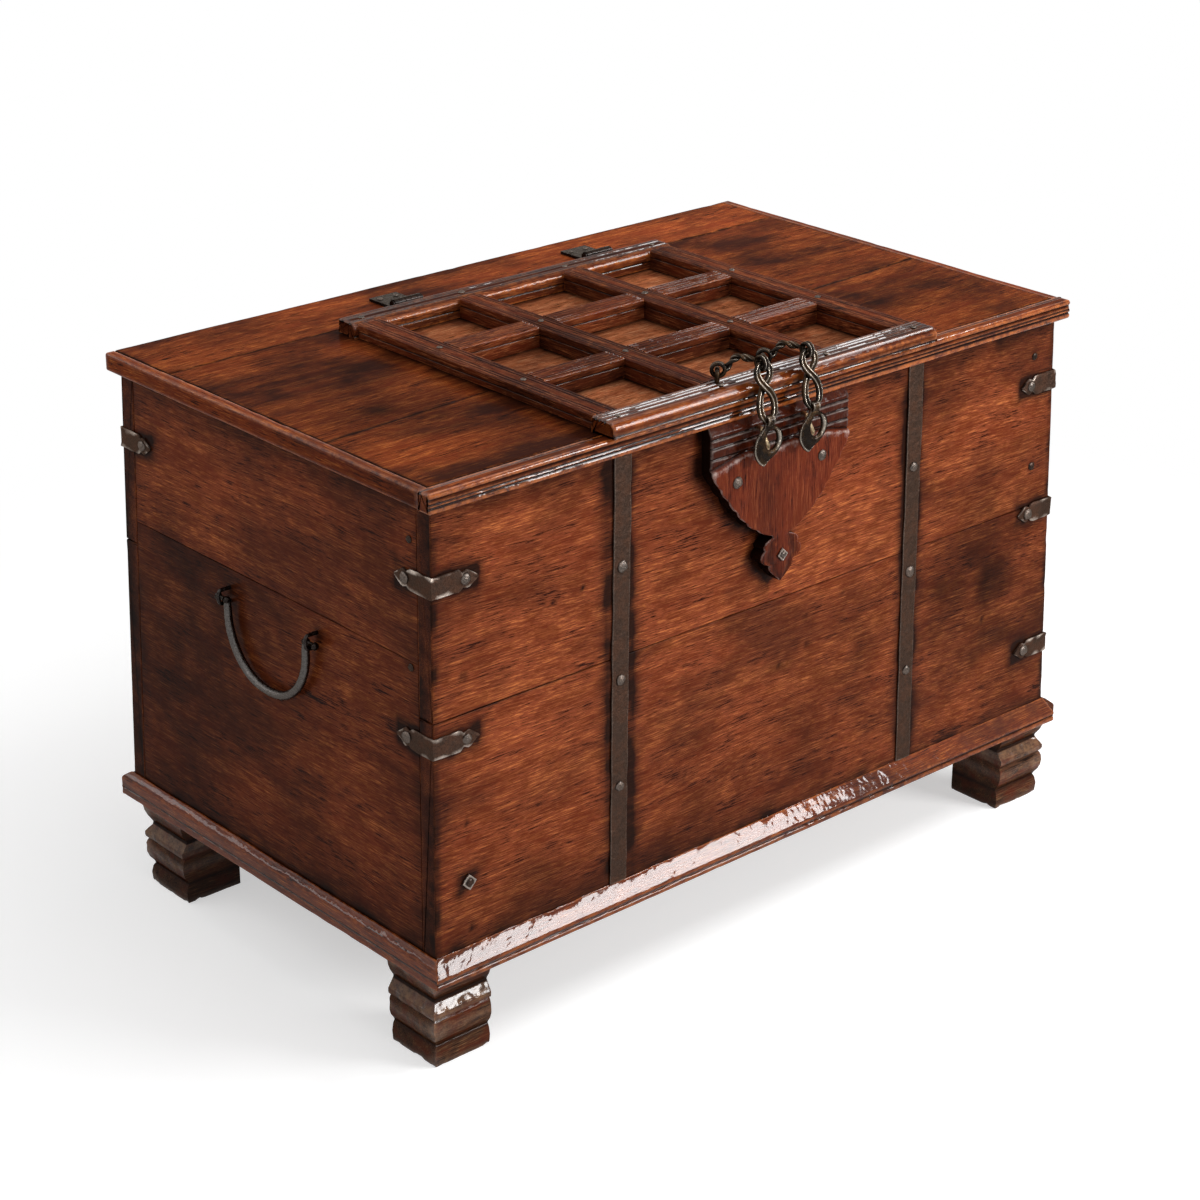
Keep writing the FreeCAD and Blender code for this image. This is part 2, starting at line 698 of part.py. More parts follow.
def make_front_straps():
    """Two upright iron straps from the plinth to the top; returns their nails."""
    skin = front_skin(strap_thickness)
    half = strap_width / 2
    nails = []
    for name, (top_share, low_share) in (("left", left_strap_shares), ("right", right_strap_shares)):
        top_x, low_x = half_width(case_top_z) * top_share, half_width(plinth_top_z) * low_share
        pts = [(low_x - half, plinth_top_z), (low_x + half, plinth_top_z), (top_x + half, case_top_z),
               (top_x - half, case_top_z)]
        strap = prism(pts, "y", -plinth_half_depth - over, 0).common(skin)
        emit("front_strap_" + name, strap.Solids[0])
        for share in strap_nail_shares:
            z = case_top_z + (plinth_top_z - case_top_z) * share
            x = top_x + (low_x - top_x) * share
            nails.append(dome(front_point(x, z, strap_thickness), front_normal, nail_radius, nail_dome))
    return nails


def strap_leg(height):
    """Half outline of a corner strap's leg: distance from the corner and height."""
    h = corner_strap_height / 2
    n0, n1, n2 = (corner_strap_length * s for s in corner_neck_shares)
    k0, k1 = (h * s for s in corner_neck_height_shares)
    upper = [(0, h), (n0, h), (n1, k0), (n2, k1), (corner_strap_length, 0)]
    lower = [(a, -b) for a, b in reversed(upper[:-1])]
    return [(a, height + b) for a, b in upper + lower]


def corner_strap(sx, sy, height):
    """An angle strap round a corner of the case, with a pointed end on each face."""
    t = strap_thickness
    z = plinth_z + height
    low, high = z - corner_strap_height, z + corner_strap_height
    y_out, y_in = lambda q: sy * (half_depth(q) + t), lambda q: sy * half_depth(q)
    x_out, x_in = lambda q: sx * (half_width(q) + t), lambda q: sx * half_width(q)
    wide = lambda q: sx * (half_width(q) - corner_strap_length - over)
    deep = lambda q: sy * (half_depth(q) - corner_strap_length - over)
    face = _ordered(wide, x_out, y_out, y_in, low, high, sx, sy)
    side = _ordered(x_in, x_out, y_in, deep, low, high, sx, sy)
    corner_x, corner_y = sx * (half_width(z) + t), sy * (half_depth(z) + t)
    legs = strap_leg(z)
    reach = corner_strap_length + over
    a = prism([(corner_x - sx * (q - over if q == 0 else q), h) for q, h in legs], "y",
              min(corner_y - sy * reach, corner_y + sy * over), max(corner_y - sy * reach, corner_y + sy * over))
    b = prism([(corner_y - sy * (q - over if q == 0 else q), h) for q, h in legs], "x",
              min(corner_x - sx * reach, corner_x + sx * over), max(corner_x - sx * reach, corner_x + sx * over))
    return face.common(a).fuse(side.common(b)).removeSplitter().Solids[0]


def _ordered(x_a, x_b, y_a, y_b, z0, z1, sx, sy):
    """A leaning block whose sides may be given in either order."""
    return leaning(lambda z: min(x_a(z), x_b(z)), lambda z: max(x_a(z), x_b(z)),
                   lambda z: min(y_a(z), y_b(z)), lambda z: max(y_a(z), y_b(z)), z0, z1)


def make_corner_straps():
    """Angle straps at the four corners, each with a nail in either leg; returns the nails."""
    nails = []
    t = strap_thickness
    reach = corner_strap_length * corner_nail_share
    for name, sx, sy, heights in (
            ("front_left", -1, -1, front_left_strap_heights), ("front_right", 1, -1, front_right_strap_heights),
            ("back_left", -1, 1, back_left_strap_heights), ("back_right", 1, 1, back_right_strap_heights)):
        emit("corner_straps_" + name, *[corner_strap(sx, sy, h) for h in heights])
        for h in heights:
            z = plinth_z + h
            face = V(sx * (half_width(z) - reach), sy * (half_depth(z) + t), z)
            side = V(sx * (half_width(z) + t), sy * (half_depth(z) - reach), z)
            nails.append(dome(face, front_normal if sy < 0 else back_normal, nail_radius, nail_dome))
            nails.append(dome(side, left_normal if sx < 0 else right_normal, nail_radius, nail_dome))
    return nails


def make_case_nails():
    """Small nails near the corners, and one nail over a diamond washer."""
    nails = []
    for height in small_nail_heights:
        z = plinth_z + height
        nails.append(dome(front_point(half_width(z) - small_nail_edge, z), front_normal, small_nail_radius, small_nail_dome))
        for sx, normal in ((-1, left_normal), (1, right_normal)):
            place = V(sx * half_width(z), small_nail_edge - half_depth(z), z)
            nails.append(dome(place, normal, small_nail_radius, small_nail_dome))
    z = plinth_z + washer_height
    x = washer_edge - half_width(z)
    w = washer_half
    pts = [(x - w, z), (x, z + w), (x + w, z), (x, z - w)]
    washer = prism(pts, "y", -plinth_half_depth - over, 0).common(front_skin(washer_thickness)).Solids[0]
    head = dome(front_point(x, z, washer_thickness), front_normal, small_nail_radius, nail_dome)
    emit("case_nails", washer, head, *nails)


def lock_outline():
    """The carved plate's outline, a left half mirrored to the right."""
    half = [(lock_half_width * a, case_top_z - lock_length * b)
            for a, b in zip(lock_outline_half_shares, lock_outline_drop_shares)]
    return [(-x, z) for x, z in half] + [(x, z) for x, z in reversed(half[:-1])]


def shield_outline():
    """The raised shield: the plate's outline below a wavy crest."""
    low = case_top_z - lock_shoulder_drop
    width = lock_half_width * lock_outline_half_shares[1]
    count = len(shield_crest_shares)
    crest = [(-width + 2 * width * i / (count - 1), low + width * s) for i, s in enumerate(shield_crest_shares)]
    below = [p for p in lock_outline() if p[1] < low - reed_depth]
    return crest + [p for p in reversed(below)]


def make_lock_plate():
    """Carved wooden plate: reeded head, raised shield and lobed pendant; returns the plate."""
    reach = plinth_half_depth + lock_thickness + over
    plate = prism(lock_outline(), "y", -reach, 0).common(front_skin(lock_thickness))
    shield = prism(shield_outline(), "y", -reach, 0).common(front_skin(lock_thickness + shield_relief))
    plate = plate.fuse(shield).removeSplitter()
    face = -half_depth(case_top_z) - lock_thickness
    b = lock_bevel
    wedge = [(face - over, case_top_z - b), (face - over, case_top_z + over), (face + b * 0.6, case_top_z + over),
             (face + b * 0.6, case_top_z), (face, case_top_z - b)]
    width = lock_half_width + over
    plate = plate.cut(prism(wedge, "x", -width, width))
    for drop in lock_reed_drops:
        z = case_top_z - drop
        y = -half_depth(z) - lock_thickness
        plate = plate.cut(groove("x", -width, width, y, z, reed_groove_width, reed_groove_depth, -1))
    emit("lock_plate", plate.Solids[0])
    return plate.Solids[0]


def make_lock_nails():
    """Three nails through the lock plate; the lowest has a diamond washer."""
    t = lock_thickness + shield_relief
    z = case_top_z - lock_length * lock_nail_drop_shares[0]
    nails = [dome(front_point(lock_half_width * s, z, t), front_normal, nail_radius, nail_dome)
             for s in lock_nail_shares]
    z = case_top_z - lock_length * lock_nail_drop_shares[1]
    w = washer_half * 0.8
    pts = [(-w, z), (0, z + w), (w, z), (0, z - w)]
    reach = plinth_half_depth + t + over
    seat = leaning(lambda q: -reach, lambda q: reach, lambda q: -half_depth(q) - t - washer_thickness,
                   lambda q: -half_depth(q) - t, z - 2 * w, z + 2 * w)
    washer = prism(pts, "y", -reach, 0).common(seat).Solids[0]
    nails.append(washer)
    nails.append(dome(front_point(0, z, t + washer_thickness), front_normal, small_nail_radius, nail_dome))
    emit("lock_plate_nails", *nails)


def make_lock_staples(plate):
    """Two iron loops that stand out of the lock plate behind the hasps."""
    loops = []
    for centre in chain_centres:
        x, z = centre + hasp_slot_shift, hasp_z - hasp_slot_drop
        h, reach = staple_half_height, staple_reach - staple_wire
        up, down = z + h, z - h
        y_up, y_down = -half_depth(up) - lock_thickness, -half_depth(down) - lock_thickness
        crown = head_face_y - reach
        inner = lock_thickness / 2
        pts = [V(x, y_up + inner, up), V(x, crown, up), V(x, crown, down), V(x, y_down + inner, down)]
        loop = rod(pts, [staple_corner] * 2, staple_wire)
        loops.append(loop.cut(plate).Solids[0])
    emit("lock_staples", *loops)


def chain_frame(x):
    """A chain's staple crown, the level way from its end ring back to it, and its two ring centres."""
    way = V(chain_slant_shares[0], chain_slant_shares[1], 0).normalize()
    end = V(x, end_ring_y, end_ring_z)
    start = end + way * chain_reach - V(0, 0, chain_end_rise)
    return start + way * ring_play, way, start, end


def torus(centre, normal):
    """A chain ring."""
    return Part.makeTorus(chain_ring_radius, chain_wire, centre, normal)


def make_chains():
    """Each chain: a staple in the rail, an arched link, a waisted link over the edge and a hasp."""
    staples = []
    for side, x in zip(("left", "right"), chain_centres):
        crown, way, start, end = chain_frame(x)
        across = V(-way.y, way.x, 0)
        staples.append(rail_staple(crown, across))
        emit("chain_link_upper_" + side, upper_link(start, end, way, across))
        emit("chain_link_lower_" + side, lower_link(end))
        emit("hasp_" + side, hasp(end.x))
    emit("lid_staples", *staples)


def rail_staple(crown, across):
    """A loop driven into the front rail, its crown through the first ring."""
    a, b = crown + across * chain_staple_half, crown - across * chain_staple_half
    low_a, low_b = V(a.x, a.y, lid_top_z), V(b.x, b.y, lid_top_z)
    return rod([low_a, a, b, low_b], [chain_wire * 1.3] * 2, chain_wire)


def upper_link(start, end, way, across):
    """Two rings joined by a shank that arches over between them."""
    r = chain_ring_radius
    a, b = start - way * r, end + V(0, r, 0)
    lift = V(0, 0, chain_hump)
    run = b - a
    crest = V(0, 0, b.z + chain_hump - a.z) - V(0, 0, run.z * 0.35)
    shank = rod([a, a + run * 0.35 + crest, b - run * 0.3 + lift * 0.8, b], [link_bend * 0.6, link_bend * 0.6], chain_wire)
    link = torus(start, across).fuse(torus(end, V(1, 0, 0))).fuse(shank)
    return link.removeSplitter().Solids[0]


def lower_link(end):
    """A waisted loop in front of the rail's edge; its level end runs are hinge pins."""
    top = V(end.x, end.y - ring_play, end.z)
    bottom = V(end.x, hasp_y, hasp_z)
    drop = bottom - top
    shares = (0,) + link_drop_shares + (1,)
    widths = (link_top_half, link_shoulder_half, link_waist_half, link_belly_half, link_bottom_half)
    radii = (link_corner, link_bend, link_bend, link_bend, link_corner)
    halves = []
    for s in (-1, 1):
        pts = [top] + [top + drop * q + V(s * w, 0, 0) for q, w in zip(shares, widths)] + [bottom]
        halves.append(rod(pts, radii, chain_wire))
    return halves[0].fuse(halves[1]).removeSplitter().Solids[0]


def hasp(x):
    """A leaf-shaped plate with a slot, rolled at its top round the link's lower run."""
    z = hasp_z
    w, t = hasp_half_width, hasp_thickness
    slot_x, slot_z = x + hasp_slot_shift, z - hasp_slot_drop
    b = hasp_slot_half_height
    neck = z - eye_outer * 0.6
    tip = (x + hasp_tip_shift, z - hasp_length)
    e = hasp_eye_half
    pts = [(x - e, neck), ((x - e * 1.25, slot_z + b * 1.18), (x - w * 0.72, slot_z + b * 0.62)),
           ((x - w, slot_z - b * 0.12), (x - w * 0.68, slot_z - b * 0.90)), ((x - w * 0.45, slot_z - b * 1.25), tip),
           ((x + w * 0.34, slot_z - b * 1.32), (x + w * 0.74, slot_z - b * 0.80)),
           ((x + w, slot_z - b * 0.05), (x + w * 0.72, slot_z + b * 0.68)),
           ((x + e * 1.25, slot_z + b * 1.18), (x + e, neck))]
    plate = prism(pts, "y", hasp_y - t / 2, hasp_y + t / 2)
    hole = slot_cutter(slot_x, slot_z)
    eye = Part.makeCylinder(eye_outer, 2 * e, V(x - e, hasp_y, z), V(1, 0, 0))
    bore = Part.makeCylinder(chain_wire + hasp_eye_clearance, 2 * w, V(x - w, hasp_y, z), V(1, 0, 0))
    return plate.cut(hole).fuse(eye).cut(bore).removeSplitter().Solids[0]


def slot_cutter(x, z):
    """The egg-shaped hole through a hasp."""
    a, b = hasp_slot_half_width, hasp_slot_half_height
    here = (x, z + b)
    arcs = []
    for middle, stop in (((x + a * 0.72, z + b * 0.68), (x + a, z)), ((x + a * 0.62, z - b * 0.72), (x, z - b)),
                         ((x - a * 0.62, z - b * 0.72), (x - a, z)), ((x - a * 0.72, z + b * 0.68), (x, z + b))):
        points = [V(p, hasp_y - hasp_thickness, q) for p, q in (here, middle, stop)]
        arcs.append(Part.Arc(*points).toShape())
        here = stop
    return Part.Face(Part.Wire(arcs)).extrude(V(0, 2 * hasp_thickness, 0))


def handle_z():
    """Height of the handles' pivots."""
    return case_top_z - case_height * handle_drop_share


def make_handles():
    """A bail on each side, hung in two staples."""
    z = handle_z()
    stand = half_width(z) + handle_stand
    staples = []
    for name, sx in (("left", -1), ("right", 1)):
        x = sx * stand
        yc = handle_centre_y
        w, bw = handle_half_width, handle_bottom_half
        pin = w + handle_pin_length
        pts = [V(x, yc + w, z), V(x, yc + bw, z - handle_drop), V(x, yc - bw, z - handle_drop), V(x, yc - w, z)]
        bail = rod(pts, [handle_sweep] * 2, handle_rod)
        for s in (-1, 1):
            bail = bail.fuse(Part.makeSphere(handle_rod, V(x, yc + s * w, z)))
            bail = bail.fuse(Part.makeCylinder(handle_pin, handle_pin_length, V(x, yc + s * w, z), V(0, s, 0)))
            bail = bail.fuse(Part.makeSphere(handle_knob, V(x, yc + s * pin, z)))
        emit("handle_" + name, bail.removeSplitter().Solids[0])
        for s in (-1, 1):
            staples.append(handle_staple(sx, yc + s * (w + handle_pin_length * 0.5), z))
    emit("handle_staples", *staples)


def handle_staple(sx, y, z):
    """A loop driven into the side, round the bail's pin."""
    h = handle_staple_half
    z = z + h - handle_staple_wire - handle_pin - handle_clearance
    out = sx * (half_width(z) + handle_staple_reach)
    deep = sx * (half_width(z) - wall_thickness / 2)
    loop = rod([V(deep, y, z + h), V(out, y, z + h), V(out, y, z - h), V(deep, y, z - h)],
               [handle_staple_corner] * 2, handle_staple_wire)
    wall = _ordered(lambda q: 0, lambda q: sx * half_width(q), lambda q: -half_depth(q), lambda q: half_depth(q),
                    z - handle_drop, z + handle_drop, sx, 1)
    return loop.cut(wall).Solids[0]


def main():
    os.makedirs("parts", exist_ok=True)
    make_walls()
    make_floor()
    make_plinth()
    make_feet()
    make_top()
    make_lid()
    make_hinges()
    nails = make_front_straps() + make_corner_straps()
    emit("strap_nails", *nails)
    make_case_nails()
    plate = make_lock_plate()
    make_lock_nails()
    make_lock_staples(plate)
    make_chains()
    make_handles()
    print("case_y", case_y, "hinge", hinge_y + case_y, hinge_z)


main()
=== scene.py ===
"""Looks of an old waxed teak dowry chest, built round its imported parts.

Shapes are worked out in millimetres about the middle of the case, and placed
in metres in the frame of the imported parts.
"""
import math

import bmesh
import bpy
import numpy as np
from bpy.props import FloatProperty, FloatVectorProperty, IntProperty, PointerProperty
from mathutils import Matrix, Vector


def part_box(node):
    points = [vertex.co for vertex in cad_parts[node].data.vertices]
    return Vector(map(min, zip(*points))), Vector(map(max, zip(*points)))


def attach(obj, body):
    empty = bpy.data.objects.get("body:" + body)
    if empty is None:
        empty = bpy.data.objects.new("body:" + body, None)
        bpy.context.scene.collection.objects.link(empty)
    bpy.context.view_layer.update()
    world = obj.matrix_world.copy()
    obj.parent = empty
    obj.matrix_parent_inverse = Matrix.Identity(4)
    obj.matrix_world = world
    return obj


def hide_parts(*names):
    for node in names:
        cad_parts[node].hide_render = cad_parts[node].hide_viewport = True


bl_info = {
    "name": "Teak Dowry Chest",
    "version": (1, 0, 0),
    "blender": (4, 5, 0),
    "location": "View3D > Sidebar > Dowry Chest",
    "description": "Dresses the packed parts of an old teak dowry chest",
    "category": "Object",
}

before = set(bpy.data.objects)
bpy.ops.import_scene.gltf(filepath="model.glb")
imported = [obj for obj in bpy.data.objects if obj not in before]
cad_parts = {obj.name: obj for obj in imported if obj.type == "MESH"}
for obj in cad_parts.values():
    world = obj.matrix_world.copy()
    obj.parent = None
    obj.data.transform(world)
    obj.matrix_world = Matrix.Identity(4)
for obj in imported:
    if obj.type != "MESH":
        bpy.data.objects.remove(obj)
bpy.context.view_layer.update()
MM = 0.001

SIDES = (("left", -1), ("right", 1))
ENDS = (("front", -1), ("back", 1))
HALVES = ("lower", "upper")
CORNERS = [("%s_%s" % (end, side), x, y) for end, y in ENDS for side, x in SIDES]


def packed(node):
    """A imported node's lowest and highest corner in millimetres."""
    return [np.array(corner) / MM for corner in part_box(node)]


CASE_Y = (packed("plinth_front")[0][1] + packed("plinth_back")[1][1]) / 2


def cad(node):
    """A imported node's lowest and highest corner in millimetres about the case's middle."""
    return [corner - [0, CASE_Y, 0] for corner in packed(node)]


PLINTH_Z, PLINTH_TOP = cad("plinth_front")[0][2], cad("plinth_front")[1][2]
SEAM = {side: cad(side + "_plank_lower")[1][2] for side in ("front", "back")}
SEAM["left"] = SEAM["right"] = cad("left_side_lower")[1][2]
CASE_TOP = cad("front_plank_upper")[1][2]
TOP_Z = cad("top_end_left")[1][2]
LID_TOP = cad("lid_rail_front")[1][2]
BASE_HALF_WIDTH = cad("front_plank_lower")[1][0]
BASE_HALF_DEPTH = -cad("front_plank_lower")[0][1]
SIDE_LEAN = (BASE_HALF_WIDTH - cad("front_plank_upper")[1][0]) / (SEAM["front"] - PLINTH_Z)
FRONT_LEAN = (BASE_HALF_DEPTH + cad("front_plank_upper")[0][1]) / (SEAM["front"] - PLINTH_Z)


def half_width(z):
    """Half the case's width: its walls lean outwards towards the floor."""
    return BASE_HALF_WIDTH - SIDE_LEAN * (z - PLINTH_Z)


def half_depth(z):
    """Half the case's depth at a height."""
    return BASE_HALF_DEPTH - FRONT_LEAN * (z - PLINTH_Z)


def hexed(code):
    """An sRGB hex colour as linear light with alpha."""
    parts = [int(code[i:i + 2], 16) / 255 for i in (1, 3, 5)]
    return tuple(p / 12.92 if p <= 0.04045 else ((p + 0.055) / 1.055) ** 2.4 for p in parts) + (1.0,)


class ChestSizes(bpy.types.PropertyGroup):
    wall: FloatProperty(name="Wall thickness", description="Thickness of the case's planks",
                        default=0.022, min=0.01, unit="LENGTH")
    wear: FloatProperty(name="Edge wear", description="How much the wooden arrises are rubbed and chipped",
                        default=1.0, min=0.0, max=3.0)
    ripple: FloatProperty(name="Hand-planed ripple", description="Depth of the unevenness of planed faces",
                          default=0.00035, min=0.0, unit="LENGTH")
    reed_width: FloatProperty(name="Reed groove width", description="Width of the grooves between the reeds",
                              default=0.0022, unit="LENGTH")
    reed_depth: FloatProperty(name="Reed groove depth", description="Depth of the grooves between the reeds",
                              default=0.0014, unit="LENGTH")
    strap_width: FloatProperty(name="Strap width", description="Width of the upright iron straps",
                               default=0.022, unit="LENGTH")
    strap_thickness: FloatProperty(name="Strap thickness", description="Thickness of all iron straps",
                                   default=0.002, unit="LENGTH")
    wire: FloatProperty(name="Chain wire", description="Radius of the chain's bars",
                        default=0.0026, unit="LENGTH")
    ring: FloatProperty(name="Chain ring", description="Radius of the chain's rings, at the middle of the bar",
                        default=0.0064, unit="LENGTH")
    bail: FloatProperty(name="Bail rod", description="Radius of the bail handles' rod at its thickest",
                        default=0.0046, unit="LENGTH")
    nail_seed: IntProperty(name="Nail seed", description="Varies the hammered nail heads", default=7)


class ChestFinish(bpy.types.PropertyGroup):
    teak_dark: FloatVectorProperty(name="Teak, dark", description="Dark growth rings and old wax",
                                   subtype="COLOR", size=3, default=hexed("#26100A")[:3], min=0, max=1)
    teak_mid: FloatVectorProperty(name="Teak, middle", description="The wood's main red-brown",
                                  subtype="COLOR", size=3, default=hexed("#7C3C22")[:3], min=0, max=1)
    teak_light: FloatVectorProperty(name="Teak, light", description="The wood's orange flecks",
                                    subtype="COLOR", size=3, default=hexed("#C0703C")[:3], min=0, max=1)
    floor_lift: FloatProperty(name="Floor lift", description="Light that the floor adds for the camera",
                              default=0.50, min=0.0, max=1.0)


def settings():
    return bpy.context.scene.dowry_chest_sizes, bpy.context.scene.dowry_chest_finish


def add(tree, kind, inputs=None, stops=(), **options):
    """Adds a node, and sets its inputs or links them to a socket or to a node's first live output."""
    made = tree.nodes.new(kind)
    for key, value in options.items():
        setattr(made, key, value)
    for _ in stops[2:]:
        made.color_ramp.elements.new(1.0)
    for element, (place, colour) in zip(made.color_ramp.elements if stops else (), stops):
        element.position = place
        element.color = colour if isinstance(colour, tuple) else (colour, colour, colour, 1.0)
    for key, value in (inputs or {}).items():
        if isinstance(value, bpy.types.Node):
            value = next(socket for socket in value.outputs if socket.enabled)
        if isinstance(value, bpy.types.NodeSocket):
            tree.links.new(value, made.inputs[key])
        else:
            made.inputs[key].default_value = value
    return made


def maths(tree, operation, *values, **options):
    """Adds arithmetic on values, sockets or nodes."""
    return add(tree, "ShaderNodeMath", dict(enumerate(values)), operation=operation, **options)


def ramp(tree, value, stops):
    """Adds a ramp of colours or levels."""
    return add(tree, "ShaderNodeValToRGB", {"Fac": value}, stops)


def blend(tree, share, under, over):
    """Adds a mix of two colours."""
    return add(tree, "ShaderNodeMix", {0: share, 6: under, 7: over}, data_type="RGBA")


def new_material(name):
    """An empty material and its tree."""
    material = bpy.data.materials.new(name)
    material.use_nodes = True
    material.node_tree.nodes.clear()
    return material, material.node_tree


def waxed_teak(name, dark, mid, light, stain=0.5, worn_and_highlight="#B4642E", wax=0.1, polish=0.2, relief=1.0, handled=0.0):
    """Old teak, planed by hand, stained and waxed many times.

    Fine flecked grain runs along each board, dark wax sits in the pores and in
    checks, handled arrises are rubbed to bare orange wood and hollows are black.
    The dark mark also carries painted shade and painted shadow, and on the lock
    plate the worn colour paints sheen and highlight lines.
    handled is the share of the wax that shines on the arrises only.
    """
    material, t = new_material(name)
    straight = add(t, "ShaderNodeAttribute", attribute_name="grain").outputs["Vector"]
    rub_and_highlight, dirt_and_shade, tone = (add(t, "ShaderNodeAttribute", attribute_name=key).outputs["Fac"]
                       for key in ("rub_and_highlight", "dirt_and_shade", "tone"))
    # the grain wanders by some 10 mm over half a metre
    bend = add(t, "ShaderNodeMapping", {"Vector": straight, "Scale": (1.8, 4.0, 4.0)})
    sway = add(t, "ShaderNodeTexNoise", {"Vector": bend, "Scale": 1.0, "Detail": 2.0, "Roughness": 0.4})
    aside = maths(t, "MULTIPLY_ADD", sway, 0.05, -0.025)
    push = add(t, "ShaderNodeCombineXYZ", {"Y": aside, "Z": aside})
    grain = add(t, "ShaderNodeVectorMath", {0: straight, 1: push}, operation="ADD")
    # features to a metre along and across the grain, detail, roughness and distortion of each pattern
    waves = {}
    for key, along, across, detail, rough, twist in (
            # fibres are under 1 mm wide on real teak; here 1 mm by 23 mm and finer, so that they show
            ("fleck", 44.0, 1000.0, 3.0, 0.66, 0.1),
            # growth rings some 15 mm apart, drawn out along the board
            ("rings", 2.6, 62.0, 4.0, 0.62, 0.9),
            # mottling of 10 to 30 mm from stain that took unevenly
            ("mottle", 24.0, 52.0, 5.0, 0.68, 0.0),
            # stains and wax build-up of 60 to 200 mm
            ("cloud", 4.5, 8.5, 5.0, 0.62, 0.0),
            # drying checks: long, about 1 mm wide and few
            ("check", 9.0, 380.0, 2.0, 0.5, 0.1),
            # worn spots of 10 mm
            ("speck", 95.0, 95.0, 4.0, 0.7, 0.0)):
        spread = add(t, "ShaderNodeMapping", {"Vector": grain, "Scale": (along, across, across)})
        waves[key] = add(t, "ShaderNodeTexNoise", {"Vector": spread, "Scale": 1.0, "Detail": detail,
                                                   "Roughness": rough, "Distortion": twist})
    fleck, mottle = waves["fleck"], waves["mottle"]
    some = maths(t, "MULTIPLY", waves["rings"], 0.24)
    more = maths(t, "MULTIPLY_ADD", mottle, 0.32, some)
    figure = maths(t, "MULTIPLY_ADD", fleck, 0.54, more)
    wood = ramp(t, figure, [(0.445, dark), (0.52, mid), (0.565, mid), (0.655, light)])
    # handled arrises: the colour has gone and bare wood shows, more in some places than in others;
    # on the lock plate this grey colour paints sheen and highlight lines
    bare = maths(t, "MULTIPLY_ADD", waves["speck"], 1.5, -0.42)
    worn_and_highlight_share = maths(t, "MULTIPLY", bare, rub_and_highlight, use_clamp=True)
    # over one another: red stain, dark stain, black in the checks, and the worn arrises with the lock plate's painted
    # sheen
    colour, covers = wood, []
    for follows, stops, code in (
            (mottle, [(0.46, 0.0), (0.60, 0.75)], "#58200F"), (waves["cloud"], [(0.44, 0.0), (0.62, stain)], "#26100A"),
            (waves["check"], [(0.165, 1.0), (0.20, 0.0)], "#120805"), (worn_and_highlight_share, [(0.12, 0.0), (0.42, 0.8)], worn_and_highlight)):
        covers.append(ramp(t, follows, stops))
        colour = blend(t, covers[-1], colour, hexed(code))
    split = covers[2]
    value = maths(t, "ADD", tone, 1.0)
    shade = add(t, "ShaderNodeHueSaturation", {"Value": value, "Color": colour})
    # the dark mark, made black: dirt and old wax, and painted shade and shadow round the irons and the lock plate,
    # under the top and in the coffers
    spread = maths(t, "MULTIPLY_ADD", mottle, 1.1, 0.45)
    grime_and_shade = maths(t, "MULTIPLY", dirt_and_shade, spread)
    black = ramp(t, grime_and_shade, [(0.06, 0.0), (0.85, 0.94)])
    dirty_and_shaded = blend(t, black, shade, hexed("#160A06"))
    # the wood itself is dull, and more so in hollows; the gloss is in the wax over it
    matt = maths(t, "MULTIPLY_ADD", black, 0.25, 0.55)
    # relief of fibres and checks, some 0.1 mm, over planing marks and dents of 15 mm
    dents = add(t, "ShaderNodeTexNoise", {"Vector": grain, "Scale": 65.0, "Detail": 2.0})
    cut = maths(t, "MULTIPLY_ADD", split, -1.2, fleck)
    depth = maths(t, "MULTIPLY_ADD", dents, 2.0, cut)
    raised = add(t, "ShaderNodeBump", {"Height": depth, "Strength": 0.6 * relief, "Distance": 0.0009})
    # the wax follows the planing marks, not the fibres
    uneven = add(t, "ShaderNodeBump", {"Height": dents, "Strength": 0.5 * relief, "Distance": 0.0016})
    shiny = add(t, "ShaderNodeMapRange", {"Value": rub_and_highlight, "From Min": 0.25, "From Max": 0.75,
                                          "To Min": wax * (1 - handled), "To Max": wax})
    surface = add(t, "ShaderNodeBsdfPrincipled", {
        "Base Color": dirty_and_shaded, "Roughness": matt, "Normal": raised, "IOR": 1.5, "Specular IOR Level": 0.0,
        "Coat Weight": shiny, "Coat Roughness": polish, "Coat Normal": uneven})
    add(t, "ShaderNodeOutputMaterial", {"Surface": surface})
    return material


